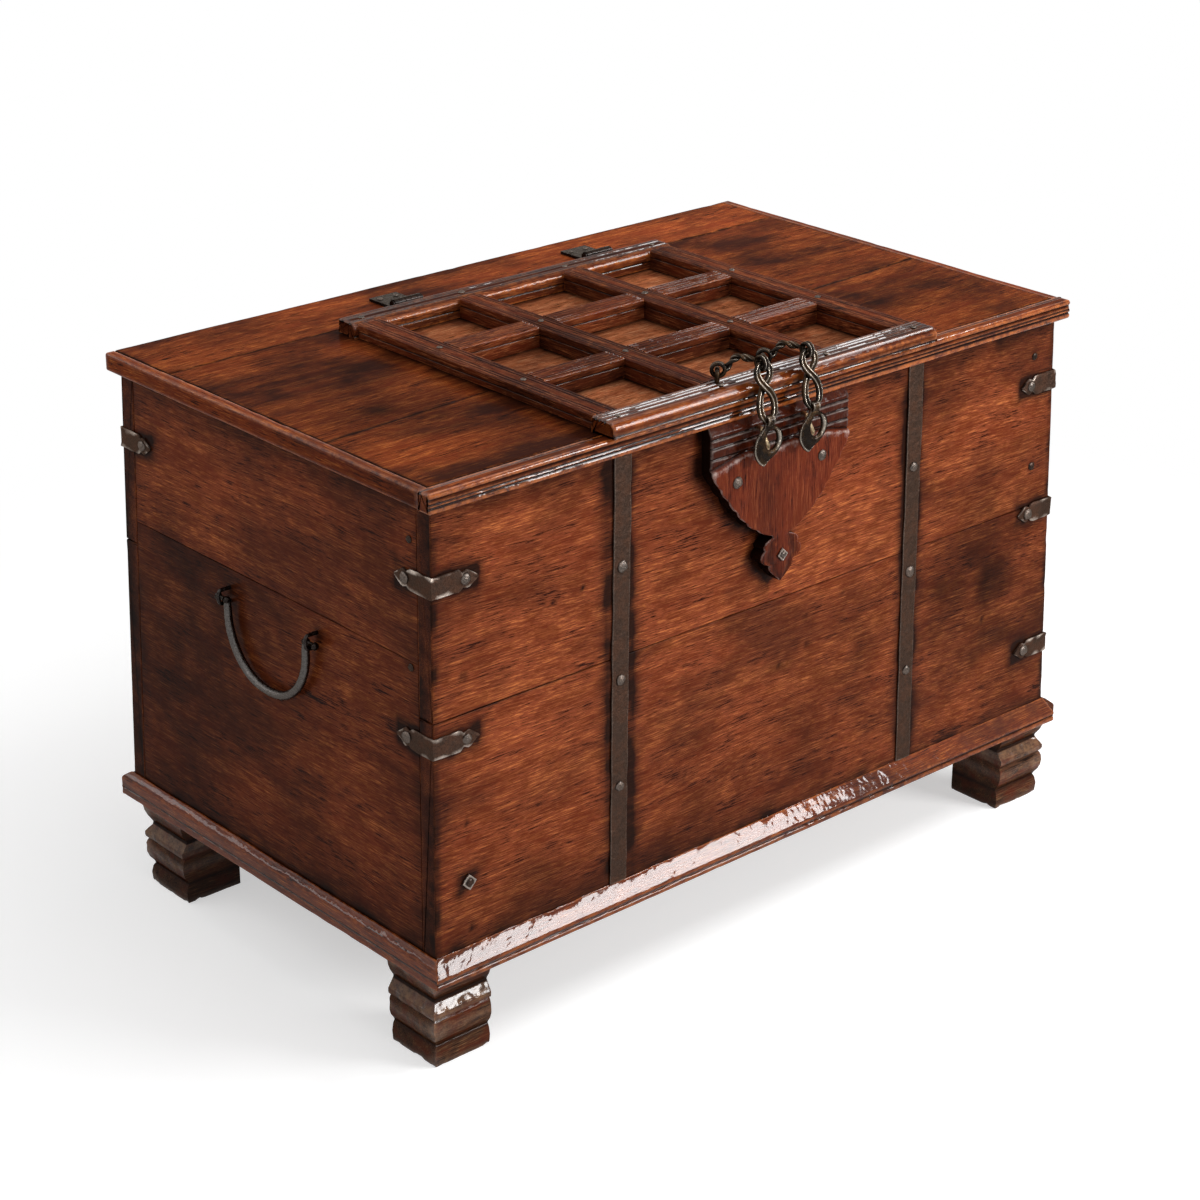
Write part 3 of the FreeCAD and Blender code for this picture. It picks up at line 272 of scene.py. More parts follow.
def forged_iron(name, base, rust, bright_and_highlight, gloss, rust_share=0.6, wax=0.3):
    """Hand-forged wrought iron: hammered scale, brown rust in the hollows, edges rubbed bright, waxed over. The bright
    colour also paints highlights and glints.
    """
    material, t = new_material(name)
    place = add(t, "ShaderNodeTexCoord").outputs["Object"]
    rub_and_highlight = add(t, "ShaderNodeAttribute", attribute_name="rub_and_highlight").outputs["Fac"]
    # hammer marks of 7 mm, pitting of 1.5 mm, patches of rust of 16 mm
    hammer, pits, patches = (
        add(t, "ShaderNodeTexNoise", {"Vector": place, "Scale": scale, "Detail": detail, "Roughness": rough})
        for scale, detail, rough in ((140.0, 2.0, 0.5), (650.0, 5.0, 0.7), (60.0, 6.0, 0.7)))
    rusty = ramp(t, patches, [(0.45, 0.0), (0.60, rust_share)])
    skin = blend(t, rusty, hexed(base), hexed(rust))
    mottle = maths(t, "MULTIPLY_ADD", pits, 2.2, -0.1)
    varied = add(t, "ShaderNodeHueSaturation", {"Value": mottle, "Color": skin})
    bite = maths(t, "MULTIPLY_ADD", pits, 0.5, 0.28)
    # the rub mark brings out the bright colour: worn edges, and painted highlights on the chain's crests, the hasps'
    # rims, the nails and the bails, and painted glints on the corner straps
    edge = maths(t, "MULTIPLY", rub_and_highlight, bite)
    bright_and_highlight_share = ramp(t, edge, [(0.18, 0.0), (0.55, 0.9)])
    colour = blend(t, bright_and_highlight_share, varied, hexed(bright_and_highlight))
    dull = maths(t, "MULTIPLY_ADD", rusty, 0.30, gloss)
    rough = maths(t, "MULTIPLY_ADD", bright_and_highlight_share, -0.20, dull, use_clamp=True)
    height = maths(t, "MULTIPLY_ADD", pits, 0.35, hammer)
    raised = add(t, "ShaderNodeBump", {"Height": height, "Strength": 0.8, "Distance": 0.0016})
    surface = add(t, "ShaderNodeBsdfPrincipled", {
        "Base Color": colour, "Metallic": 1.0, "Roughness": rough, "Normal": raised,
        "Specular Tint": hexed("#C0B8B0"), "Coat Weight": wax, "Coat Roughness": 0.12})
    add(t, "ShaderNodeOutputMaterial", {"Surface": surface})
    return material


# each teak: material's name, dark, middle and light colour, and how it was stained, waxed and worn
TEAKS = {
    "carcass": ("waxed_teak_carcass", "", "", "", dict(stain=0.6, wax=0.10, polish=0.26)),
    "top": ("waxed_teak_top_stained", "#1E0E08", "#723418", "#B46830", dict(stain=0.9, wax=0.05, polish=0.24)),
    "lid": ("waxed_teak_lid", "#180B06", "#5E2D1A", "#B06A40",
            dict(stain=0.6, wax=0.5, polish=0.08, relief=0.6, handled=0.9)),
    "coffer": ("waxed_teak_coffer_floor", "#38200F", "#A05C3A", "#D09C72", dict(wax=0.04, polish=0.3)),
    "trim": ("waxed_teak_moulding", "#2A120A", "#783414", "#B86A30",
             dict(stain=0.6, wax=0.6, polish=0.06, relief=0.4, handled=0.88)),
    "plinth": ("waxed_teak_plinth", "#2A120A", "#783414", "#B86A30",
               dict(stain=0.6, wax=0.42, polish=0.08, relief=0.9)),
    # the lock plate's grey worn colour paints the sheen under its crest and the highlight lines on its head
    "lock": ("carved_teak_lock_plate", "#1A0B06", "#5C2414", "#864426", dict(worn_and_highlight="#A8948C", wax=0.14, polish=0.16)),
    "foot": ("carved_teak_feet", "#1C100A", "#4E3222", "#86603E",
             dict(worn_and_highlight="#7E5A3C", wax=0.55, polish=0.12, handled=0.8)),
    "inner": ("bare_teak_inside", "#4A2A18", "#7A4C2C", "#9A6A40", dict(stain=0.3, wax=0.0)),
}

# each iron: material's name, scale, rust and bright colour, roughness, and its share of rust and wax.
# The bright colour is that of rubbed edges, and of painted highlights and glints.
# The lock's staples are of brass, worn bright on their fronts and brown behind.
IRONS = {
    "strap": ("forged_iron_straps", "#3A2C25", "#4A3226", "#A0948A", 0.48, dict(wax=0.06)),
    "nail": ("forged_iron_nails", "#261C17", "#3E2A1E", "#B0A49A", 0.30, dict(wax=0.2)),
    "handle": ("forged_iron_handles", "#1C1614", "#2E201A", "#A09C98", 0.24, dict(rust_share=0.3, wax=0.15)),
    "chain": ("forged_iron_chain", "#19130F", "#4E3822", "#C0B6A8", 0.26, dict(rust_share=0.42, wax=0.12)),
    "staple": ("brass_lock_staples", "#A8885A", "#6A4A24", "#F0E0C0", 0.34, dict(rust_share=0.3)),
}
MATERIALS = {}


def finish_of(name):
    """One of the chest's materials; all are made at the first call."""
    if not MATERIALS:
        _, colours = settings()
        chosen = [tuple(c) + (1.0,) for c in (colours.teak_dark, colours.teak_mid, colours.teak_light)]
        for key, (label, *shades, how) in TEAKS.items():
            shades = [hexed(code) if code else own for code, own in zip(shades, chosen)]
            MATERIALS[key] = waxed_teak(label, *shades, **how)
        for key, (label, *shades, gloss, how) in IRONS.items():
            MATERIALS[key] = forged_iron(label, *shades, gloss, **how)
    return MATERIALS[name]


def lattice(points, seed):
    """Smooth noise from -1 to 1 at each row of an (n, 3) array, one cell to a unit."""
    cell = np.floor(points).astype(np.int64)
    part = points - cell
    part = part * part * (3 - 2 * part)
    total = np.zeros(len(points))
    for corner in range(8):
        step = np.array([corner & 1, corner >> 1 & 1, corner >> 2 & 1])
        c = cell + step
        h = (c[:, 0] * 73856093 ^ c[:, 1] * 19349663 ^ c[:, 2] * 83492791 ^ (seed + 11) * 2654435761) & 0xFFFFFFFF
        h = ((h ^ (h >> 13)) * 1274126177) & 0xFFFFFFFF
        h = h ^ (h >> 16)
        total += np.prod(np.where(step, part, 1 - part), axis=1) * (h / 0xFFFFFFFF * 2 - 1)
    return total


def eased(x):
    """A smooth step from 0 to 1."""
    x = np.clip(x, 0, 1)
    return x * x * (3 - 2 * x)


def cuts(length, step):
    """Shares along a run: even, with a finer one near each end."""
    count = max(1, math.ceil(length / step))
    shares = np.linspace(0, 1, count + 1)[:-1]
    if length > 2.5 * step:
        near = 0.28 * step / length
        shares = np.sort(np.concatenate([shares, [near, 1 - near]]))
    return shares


def profile(corners, radii, step, rubbed=4.5):
    """A closed outline with rounded corners: points, outward normals, and nearness to arrises and hollows."""
    c = np.array(corners, float)
    radii = np.full(len(c), radii, float) if np.isscalar(radii) else np.array(radii, float)
    around = np.roll(c, -1, 0)
    if np.sum(c[:, 0] * around[:, 1] - around[:, 0] * c[:, 1]) < 0:
        c, radii = c[::-1], radii[::-1]
    kept, edges, hollows = [], [], []
    for i in range(len(c)):
        into, out = c[i] - c[i - 1], c[(i + 1) % len(c)] - c[i]
        u, w = into / np.linalg.norm(into), out / np.linalg.norm(out)
        turn = math.atan2(u[0] * w[1] - u[1] * w[0], u @ w)
        if abs(turn) > 0.3:
            (edges if turn > 0 else hollows).append(c[i])
        half = math.tan(abs(turn) / 2)
        reach = min(radii[i] * half, 0.45 * np.linalg.norm(into), 0.45 * np.linalg.norm(out))
        if reach < 0.05 or abs(turn) < 0.05:
            kept.append(c[i])
            continue
        r = reach / half
        start = c[i] - u * reach
        centre = start + np.array([-u[1], u[0]]) * r * np.sign(turn)
        count = 1 + round(abs(turn) / (math.pi / 2) * 3)
        for j in range(count + 1):
            a = turn * j / count
            arm = start - centre
            kept.append(centre + [arm[0] * math.cos(a) - arm[1] * math.sin(a),
                                  arm[0] * math.sin(a) + arm[1] * math.cos(a)])
    points = []
    for i, p in enumerate(kept):
        run = kept[(i + 1) % len(kept)] - p
        points += [p + run * s for s in cuts(max(np.linalg.norm(run), 0.01), step)]
    points = np.array(points)
    tangent = np.roll(points, -1, 0) - np.roll(points, 1, 0)
    normal = np.stack([tangent[:, 1], -tangent[:, 0]], 1)
    normal /= np.linalg.norm(normal, axis=1)[:, None] + 1e-9

    def near(spots, reach):
        if not spots:
            return np.zeros(len(points))
        gap = np.linalg.norm(points[:, None] - np.array(spots)[None], axis=2).min(1)
        return np.exp(-gap / reach)
    return points, normal, near(edges, rubbed), near(hollows, min(2.2, rubbed))


class Shape:
    """Vertices, faces and surface marks of one piece, in millimetres about the case's middle."""

    def __init__(self):
        self.points, self.faces, self.count = [], [], 0
        self.marks = {"grain": [], "rub_and_highlight": [], "dirt_and_shade": [], "tone": []}

    def take(self, points, faces, grain=None, rub_and_highlight=0.0, dirt_and_shade=0.0, tone=0.0):
        """Adds a part to the piece."""
        points = np.asarray(points, float)
        n = len(points)
        self.points.append(points)
        self.faces += [[i + self.count for i in face] for face in faces]
        self.marks["grain"].append(points * MM if grain is None else grain)
        for key, value in (("rub_and_highlight", rub_and_highlight), ("dirt_and_shade", dirt_and_shade), ("tone", tone)):
            self.marks[key].append(np.broadcast_to(np.asarray(value, float), (n,)))
        self.count += n

    def piece(self, node, finish, slot, body="case", name=None, sharp=38.0):
        """Makes the object, in metres, ties it to its body and lets it stand for its node, if it has one."""
        points = np.concatenate(self.points)
        points[:, 1] += CASE_Y
        name = name or node + "_" + slot.split("_")[-1]
        mesh = bpy.data.meshes.new(name)
        mesh.from_pydata((points * MM).tolist(), [], self.faces)
        for key, values in self.marks.items():
            kind, field = ("FLOAT_VECTOR", "vector") if key == "grain" else ("FLOAT", "value")
            layer = mesh.attributes.new(key, kind, "POINT")
            layer.data.foreach_set(field, np.concatenate(values).astype(np.float32).ravel())
        work = bmesh.new()
        work.from_mesh(mesh)
        bmesh.ops.recalc_face_normals(work, faces=work.faces)
        work.to_mesh(mesh)
        work.free()
        mesh.polygons.foreach_set("use_smooth", [True] * len(mesh.polygons))
        mesh.set_sharp_from_angle(angle=math.radians(sharp))
        mesh.materials.append(finish_of(finish))
        tied(linked(name, mesh), body, [node] if node else [])


def linked(name, data):
    """A new object in the scene."""
    made = bpy.data.objects.new(name, data)
    bpy.context.scene.collection.objects.link(made)
    return made


def tied(made, body, nodes):
    """A finished piece rides on its body and stands for its nodes."""
    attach(made, body)
    if nodes:
        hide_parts(*nodes)


def ladder(rows, columns, closed=False):
    """Faces over rings of points, with an end face at each end, or closed on itself."""
    faces = [(a + j, a + (j + 1) % columns, b + (j + 1) % columns, b + j)
             for a, b in ((i * columns, (i + 1) % rows * columns) for i in range(rows if closed else rows - 1))
             for j in range(columns)]
    if not closed:
        faces += [tuple(range(columns - 1, -1, -1)), tuple(range((rows - 1) * columns, rows * columns))]
    return faces


def rounded(gap, radius):
    """How far a rounded arris falls back at a distance from its edge."""
    return radius - np.sqrt(np.maximum(radius ** 2 - np.clip(radius - gap, 0, radius) ** 2, 0))


def swept(shape, outline, length, place, seed, step, tone=0.0, wear=1.0, ends=1.5, ripple=None, dirt_and_shade_of=None,
          tone_of=None, rubbing=1.0):
    """Sweeps an outline along a board in steps, rubbing its arrises and ends unevenly.

    place(share, a, b) gives the point for a share of the length and the outline's two coordinates.
    """
    sizes, _ = settings()
    ripple = sizes.ripple / MM if ripple is None else ripple
    points, normal, rub_and_highlight, dirt_and_shade = outline
    close = np.array([0, 0.12, 0.35, 0.7, 1.0]) * ends
    inner = np.linspace(ends + 0.4 * step, length - ends - 0.4 * step, max(2, math.ceil(length / step)))
    s = np.concatenate([[0.0], np.unique(np.concatenate([close, inner, length - close])), [length]])
    end_gap = np.minimum(s, length - s)
    inset = rounded(end_gap, ends)
    # the last ring lies just inside the rim, so that the marks of the arrises stay off the end face
    inset[[0, -1]] += 0.25
    rows, columns = len(s), len(points)
    along = np.repeat(s, columns)
    a, b = ((points[None, :, k] - normal[None, :, k] * inset[:, None]).ravel() for k in (0, 1))
    local = np.stack([along, a, b], 1)
    near = np.maximum(rub_and_highlight[None], np.exp(-end_gap / 4.0)[:, None]).ravel()
    slow = lattice(local / (70, 30, 30) + seed * 3.7, seed)
    quick = lattice(local / (16, 7, 7) + seed * 1.3, seed + 5)
    off = ripple * (1 + slow) + sizes.wear * wear * near * (0.18 + 1.5 * np.maximum(quick, 0) ** 2)
    off *= np.repeat(eased(end_gap / max(ends, 0.1) + 0.35), columns)
    a -= np.tile(normal[:, 0], rows) * off
    b -= np.tile(normal[:, 1], rows) * off
    placed = np.stack([np.broadcast_to(v, a.shape) for v in place(along / length, a, b)], 1)
    dirty_and_shaded = np.tile(dirt_and_shade, rows)
    for cap in (slice(0, columns), slice(-columns, None)):
        near[cap], dirty_and_shaded[cap] = 0.3, 0.1
    if dirt_and_shade_of:
        dirty_and_shaded = np.maximum(dirty_and_shaded, dirt_and_shade_of(placed))
    if tone_of:
        tone = tone + tone_of(placed)
    shape.take(placed, ladder(rows, columns), local * MM + np.array([0.71, 0.37, 0.53]) * (seed + 1),
               near * rubbing, dirty_and_shaded, tone)


def along_x(x0, x1):
    """Length and place of a board that runs from left to right."""
    return x1 - x0, lambda s, a, b: (x0 + (x1 - x0) * s, a, b)


def board(node, finish, slot, outline, length, place, body="case", **how):
    """One swept board that stands for its node."""
    shape = Shape()
    swept(shape, outline, length, place, **how)
    shape.piece(node, finish, slot, body)


def rectangle(a0, a1, b0, b1, radii, step, rubbed=4.5):
    """A board's rounded outline between two pairs of coordinates."""
    return profile([(a0, b0), (a1, b0), (a1, b1), (a0, b1)], radii, step, rubbed)


def spline(points, count, closed=False):
    """A smooth curve through the points."""
    p = np.array(points, float)
    if closed:
        p = np.concatenate([p[-1:], p, p[:2]])
    else:
        p = np.concatenate([2 * p[:1] - p[1:2], p, 2 * p[-1:] - p[-2:-1]])
    spans = len(p) - 3
    out = []
    for u in np.linspace(0, spans, count, endpoint=not closed):
        i = min(int(u), spans - 1)
        t = u - i
        a, b, c, d = p[i:i + 4]
        out.append(0.5 * (2 * b + (c - a) * t + (2 * a - 5 * b + 4 * c - d) * t ** 2
                          + (3 * b - 3 * c + d - a) * t ** 3))
    return np.array(out)


def tube(shape, path, up, radius, closed=False, doubled=False, seed=0, sides=16, rub_and_highlight=0.35, twist=0.0):
    """A forged bar along a path; doubled, it looks like two wires side by side along up, which may turn as it goes."""
    path = np.array(path, float)
    n = len(path)
    tangent = np.roll(path, -1, 0) - np.roll(path, 1, 0) if closed else np.gradient(path, axis=0)
    tangent /= np.linalg.norm(tangent, axis=1)[:, None]
    up = np.broadcast_to(np.array(up, float), path.shape)
    first = up - tangent * (tangent * up).sum(1)[:, None]
    first /= np.linalg.norm(first, axis=1)[:, None]
    second = np.cross(tangent, first)
    turned = (np.linspace(0, 1, n) * twist)[:, None]
    first, second = (first * np.cos(turned) + second * np.sin(turned),
                     second * np.cos(turned) - first * np.sin(turned))
    angle = np.linspace(0, 2 * math.pi, sides, endpoint=False)
    reach, crest = np.ones(sides), np.full(sides, 0.6)
    if doubled:
        apart, each = 0.58, 0.70
        reach = apart * np.abs(np.cos(angle)) + np.sqrt(np.maximum(each ** 2 - (apart * np.sin(angle)) ** 2, 0))
        # the rub mark runs along the crests of the two wires: wear, and painted highlight lines
        crest = np.exp(-((reach * np.abs(np.cos(angle)) - 0.70) / 0.16) ** 2)
    size = np.broadcast_to(np.asarray(radius, float), (n,))[:, None] * reach[None]
    arm = (first[:, None] * (np.cos(angle) * size)[..., None]
           + second[:, None] * (np.sin(angle) * size)[..., None]).reshape(-1, 3)
    centre = np.repeat(path, sides, 0)
    bruise = lattice((centre + arm) / 5.0 + seed, seed) * 0.05 * np.repeat(size.mean(1), sides)
    points = centre + arm * (1 - np.abs(bruise)[:, None] / (np.linalg.norm(arm, axis=1)[:, None] + 1e-6))
    shape.take(points, ladder(n, sides, closed), rub_and_highlight=rub_and_highlight * np.tile(crest, n))


# lock plate's outline: shares of its height from the top, and half widths as shares of its head's
PLATE_OUTLINE = (
    (0.0, 1.0), (0.262, 1.0), (0.275, 0.99), (0.30, 0.965), (0.345, 0.90), (0.352, 0.885), (0.372, 0.872),
    (0.400, 0.835), (0.425, 0.785), (0.433, 0.765), (0.455, 0.752), (0.482, 0.718), (0.505, 0.668), (0.512, 0.648),
    (0.535, 0.632), (0.560, 0.590), (0.582, 0.535), (0.589, 0.512), (0.610, 0.492), (0.632, 0.440), (0.650, 0.375),
    (0.656, 0.352), (0.672, 0.322), (0.690, 0.262), (0.705, 0.190), (0.716, 0.135), (0.724, 0.118), (0.732, 0.128),
    (0.738, 0.165), (0.752, 0.222), (0.770, 0.252), (0.786, 0.250), (0.793, 0.236), (0.800, 0.252), (0.815, 0.284),
    (0.835, 0.296), (0.855, 0.282), (0.872, 0.245), (0.884, 0.196), (0.890, 0.172), (0.900, 0.178), (0.915, 0.170),
    (0.935, 0.138), (0.960, 0.085), (0.985, 0.030), (1.0, 0.006))

# areas where the colour is darker or lighter, face by face. Each face has its axis, where it is
# and how deep it reaches, then its areas: middle along both other axes, reach along both, and how much
DARKER_AND_LIGHTER_AREAS = (
    (1, -260, 60, (
        (60, 215, 90, 80, -0.35), (-120, 150, 70, 40, -0.35), (130, 300, 60, 60, -0.25), (-300, 150, 90, 30, -0.25),
        (300, 300, 70, 55, -0.45), (380, 180, 50, 60, -0.25), (-20, 480, 160, 60, -0.20), (260, 520, 40, 60, -0.20),
        (-330, 330, 45, 35, 0.22), (-60, 300, 70, 60, 0.16), (-320, 520, 60, 40, 0.14), (110, 470, 50, 50, 0.20),
        (300, 470, 50, 60, 0.15), (330, 300, 100, 190, -0.42))),
    (0, -430, 60, (
        (170, 480, 90, 120, -0.25), (60, 200, 120, 60, 0.22), (-120, 300, 60, 90, 0.10), (-160, 520, 90, 40, -0.15),
        (200, 260, 60, 90, -0.2), (120, 330, 130, 160, -0.28), (-200, 180, 60, 60, 0.25), (0, 330, 70, 40, 0.25),
        (-120, 230, 60, 50, 0.25), (-60, 130, 160, 30, -0.25), (140, 130, 90, 60, -0.25), (0, 500, 280, 70, 0.36))),
    (2, 596, 30, (
        (-330, -60, 80, 55, -0.62), (-290, 60, 60, 60, -0.35), (-250, -170, 50, 40, -0.45), (-380, -180, 40, 50, 0.20),
        (-120, 200, 240, 30, -0.30), (300, 60, 90, 60, -0.15), (360, 200, 90, 60, 0.35), (270, -140, 50, 50, -0.35),
        (380, -120, 40, 70, -0.30), (250, 200, 90, 30, -0.05), (-400, 120, 40, 70, 0.12), (330, 150, 140, 120, 0.30),
        (0, 215, 300, 40, 0.60))),
)

# old nail holes and dents in the front: x, z and radius
DENTS = ((-397, 403, 5.0), (-398, 253, 3.5), (-395, 140, 4.0), (52, 333, 3.0), (56, 303, 3.5), (106, 345, 2.6),
         (16, 290, 3.0), (205, 470, 3.0), (228, 452, 2.4), (-250, 452, 2.6), (330, 250, 3.4), (-120, 205, 2.6))


def darker_and_lighter(points):
    """How much darker or lighter the colour is at each point."""
    total = np.zeros(len(points))
    for axis, level, depth, areas in DARKER_AND_LIGHTER_AREAS:
        across = np.delete(points, axis, 1)
        layer = np.exp(-((points[:, axis] - level) / depth) ** 2)
        for u, v, reach_u, reach_v, amount in areas:
            total += amount * layer * np.exp(-(((across - [u, v]) / [reach_u, reach_v]) ** 2).sum(1))
    return total * (1 + 0.5 * lattice(points / 28.0, 17))


def iron_boxes():
    """Boxes of the irons on the case; the wood round them is blackened, partly by rust and partly as painted contact
    shadow.
    """
    nodes = ["front_strap_left", "front_strap_right", "case_nails", "handle_staples"]
    nodes += ["corner_straps_" + corner for corner, _, _ in CORNERS]
    return [(part.min(0), part.max(0)) for node in nodes for part in loose_parts(node)]


def blackened_and_shaded(points, boxes, reach=7.0):
    """Black round the irons, partly rust and partly painted contact shadow, and in old nail holes: 1 against them,
    fading over some millimetres.
    """
    total = np.zeros(len(points))
    for x, z, radius in DENTS:
        gap = np.hypot(points[:, 0] - x, points[:, 2] - z) + 100 * (points[:, 1] > -200)
        total = np.maximum(total, 1.1 * np.exp(-(gap / radius) ** 2))
    for low, high in boxes:
        size = 0.5 if np.max(high - low) < 16 else 1.0
        gap = np.maximum(np.maximum(low - points, points - high), 0)
        total = np.maximum(total, size * np.exp(-np.linalg.norm(gap, axis=1) / (reach * size)))
    return total


class DOWRY_OT_walls(bpy.types.Operator):
    """Front, back and side planks of the case"""
    bl_idname = "dowry.walls"
    bl_label = "Walls"

    def execute(self, context):
        sizes, _ = settings()
        t = sizes.wall / MM
        irons = iron_boxes()
        low, high = cad("lock_plate")

        def grime_and_shade(points):
            """Dark old wax along the seams; darker at the corners and just above the plinth; black round the irons,
            partly rust and partly painted contact shadow; painted shade under the top; and a painted shadow
            round and below the lock plate, wider to its left.
            """
            x, y, z = points.T
            to_side, to_front = half_width(z) - np.abs(x), half_depth(z) - np.abs(y)
            on_front = to_front < t + 2
            seam_z = np.where(on_front, np.where(y < 0, SEAM["front"], SEAM["back"]), SEAM["left"])
            seam = np.where(on_front, np.where(x < -235, 1.4, 0.5), 0.55)
            corner = np.hypot(to_side, to_front)
            drop = (CASE_TOP - z) / (CASE_TOP - low[2])
            beside = np.abs(x) - high[0] * np.interp(drop, *zip(*PLATE_OUTLINE))
            gap = np.hypot(np.maximum(beside, 0), np.maximum(low[2] - z, 0))
            dark = np.maximum.reduce([
                0.75 * np.exp(-np.maximum(z - PLINTH_TOP, 0) / 12.0),
                # painted shade under the top
                0.8 * np.exp(-np.maximum(CASE_TOP - z, 0) / 14.0),
                # black round the irons: rust, and painted contact shadow
                0.85 * blackened_and_shaded(points, irons),
                seam * np.exp(-np.abs(z - seam_z) / 0.8),
                0.62 * np.exp(-(corner / 30.0) ** 2) * (to_side < 8),
                0.40 * np.exp(-corner / 16.0),
                # painted shadow round and below the lock plate, wider to its left
                1.25 * np.exp(-gap / np.where(x < 0, 12.0, 5.0)) * (y < 0)])
            return dark * (1 + 0.6 * lattice(points / 18.0, 31))
        marks = dict(step=5.0, dirt_and_shade_of=grime_and_shade, tone_of=darker_and_lighter)
        for number, (side, sign) in enumerate(ENDS):
            for upper, (z0, z1) in enumerate(((PLINTH_Z, SEAM[side]), (SEAM[side], CASE_TOP))):
                board("%s_plank_%s" % (side, HALVES[upper]), "carcass", "carcass_wood",
                      rectangle(z0, z1, 0, t, (0.8, 0.8, 0.6, 0.6), 5.0), 2 * half_width(z0),
                      lambda s, a, b: ((2 * s - 1) * half_width(a), sign * (half_depth(a) - b), a),
                      seed=3 + 2 * number + upper, tone=(-0.02, 0.05)[upper], ends=1.8, rubbing=0.42, **marks)
        for number, (side, sign) in enumerate(SIDES):
            for upper, (z0, z1) in enumerate(((PLINTH_Z, SEAM[side]), (SEAM[side], CASE_TOP))):
                board("%s_side_%s" % (side, HALVES[upper]), "carcass", "carcass_wood",
                      rectangle(z0, z1, 0, t, (0.7, 0.7, 0.5, 0.5), 5.0), 2 * (half_depth(z0) - t),
                      lambda s, a, b: (sign * (half_width(a) - b), (2 * s - 1) * (half_depth(a) - t), a),
                      seed=9 + 2 * number + upper, tone=(-0.22, 0.20)[upper], ends=0.4, wear=0.5, rubbing=0.2,
                      **marks)
        return {"FINISHED"}


class DOWRY_OT_inside(bpy.types.Operator):
    """Boards of the chest's floor"""
    bl_idname = "dowry.inside"
    bl_label = "Floor boards"

    def execute(self, context):
        sizes, _ = settings()
        low, high = cad("floor_boards")
        inset = sizes.wall / MM + 0.3
        reach_x, reach_y = half_width(high[2]) - inset, half_depth(high[2]) - inset
        joints = np.linspace(-reach_y, reach_y, 4)
        shape = Shape()
        for i in range(3):
            swept(shape, rectangle(joints[i], joints[i + 1], low[2], high[2], 1.2, 9.0),
                  *along_x(-reach_x, reach_x), seed=20 + i, step=9.0)
        shape.piece("floor_boards", "inner", "inner_wood")
        return {"FINISHED"}


class DOWRY_OT_plinth(bpy.types.Operator):
    """Moulded skirting round the case's foot"""
    bl_idname = "dowry.plinth"
    bl_label = "Plinth"

    def execute(self, context):
        tall, lean = PLINTH_TOP - PLINTH_Z, 0.6
        ry = -cad("plinth_front")[0][1] - BASE_HALF_DEPTH
        rx = cad("plinth_right")[1][0] - BASE_HALF_WIDTH
        bevelled = profile(
            [(0, 0), (ry - 0.9, 0), (ry, 1.4), (ry, 4.6), (ry - 0.9, 6.0), (ry - 2.6, 6.8), (ry - 0.9, 7.6), (ry, 8.6),
             (ry, 11.0), (ry - 0.9, 12.6), (0.4, tall - 0.5), (-lean, tall)],
            (0, 0.8, 1.0, 1.0, 0.8, 0.5, 0.8, 1.0, 1.2, 2.4, 1.6, 0), 3.0, 2.0)
        eased_edge = profile(
            [(0, 0), (rx, 0), (rx, 8.4), (rx - 1.6, 9.4), (rx, 10.4), (rx, tall - 7), (rx - 7, tall), (-lean, tall)],
            (0, 1.2, 0.8, 0.5, 0.8, 6, 7, 0), 2.6, 2.5)
        common = dict(step=4.0, ends=0.2, rubbing=0.7)
        for number, (side, sign) in enumerate(ENDS):
            board("plinth_" + side, "plinth", "trim_wood", bevelled, 2 * (BASE_HALF_WIDTH + rx),
                  lambda s, a, b: ((2 * s - 1) * (BASE_HALF_WIDTH + a * rx / ry), sign * (BASE_HALF_DEPTH + a),
                                   PLINTH_Z + b),
                  seed=30 + number, wear=0.45, ripple=0.3, tone=-0.2, **common)
        for number, (side, sign) in enumerate(SIDES):
            board("plinth_" + side, "plinth", "trim_wood", eased_edge, 2 * (BASE_HALF_DEPTH + ry),
                  lambda s, a, b: (sign * (BASE_HALF_WIDTH + a), (2 * s - 1) * (BASE_HALF_DEPTH + a * ry / rx),
                                   PLINTH_Z + b),
                  seed=33 + number, wear=0.7, ripple=0.5, tone=-0.05, **common)
        return {"FINISHED"}


# feet: shares of the height from the floor, and how far each level is set back, as shares of the carving's depth
FOOT_CARVING = ((0.0, 0.62), (0.03, 0.56), (0.12, 0.48), (0.20, 0.66), (0.232, 0.86), (0.240, 0.95), (0.268, 0.80),
                (0.32, 0.34), (0.38, 0.08), (0.44, 0.00), (0.50, 0.06), (0.545, 0.26), (0.572, 0.52), (0.578, 0.30),
                (0.585, 0.08), (0.61, 0.0), (0.640, 0.0), (0.652, 0.02), (0.746, 0.84), (0.772, 1.0),
                (0.79, 0.96), (0.86, 0.42), (0.93, 0.10), (0.985, 0.0), (1.0, 0.0))


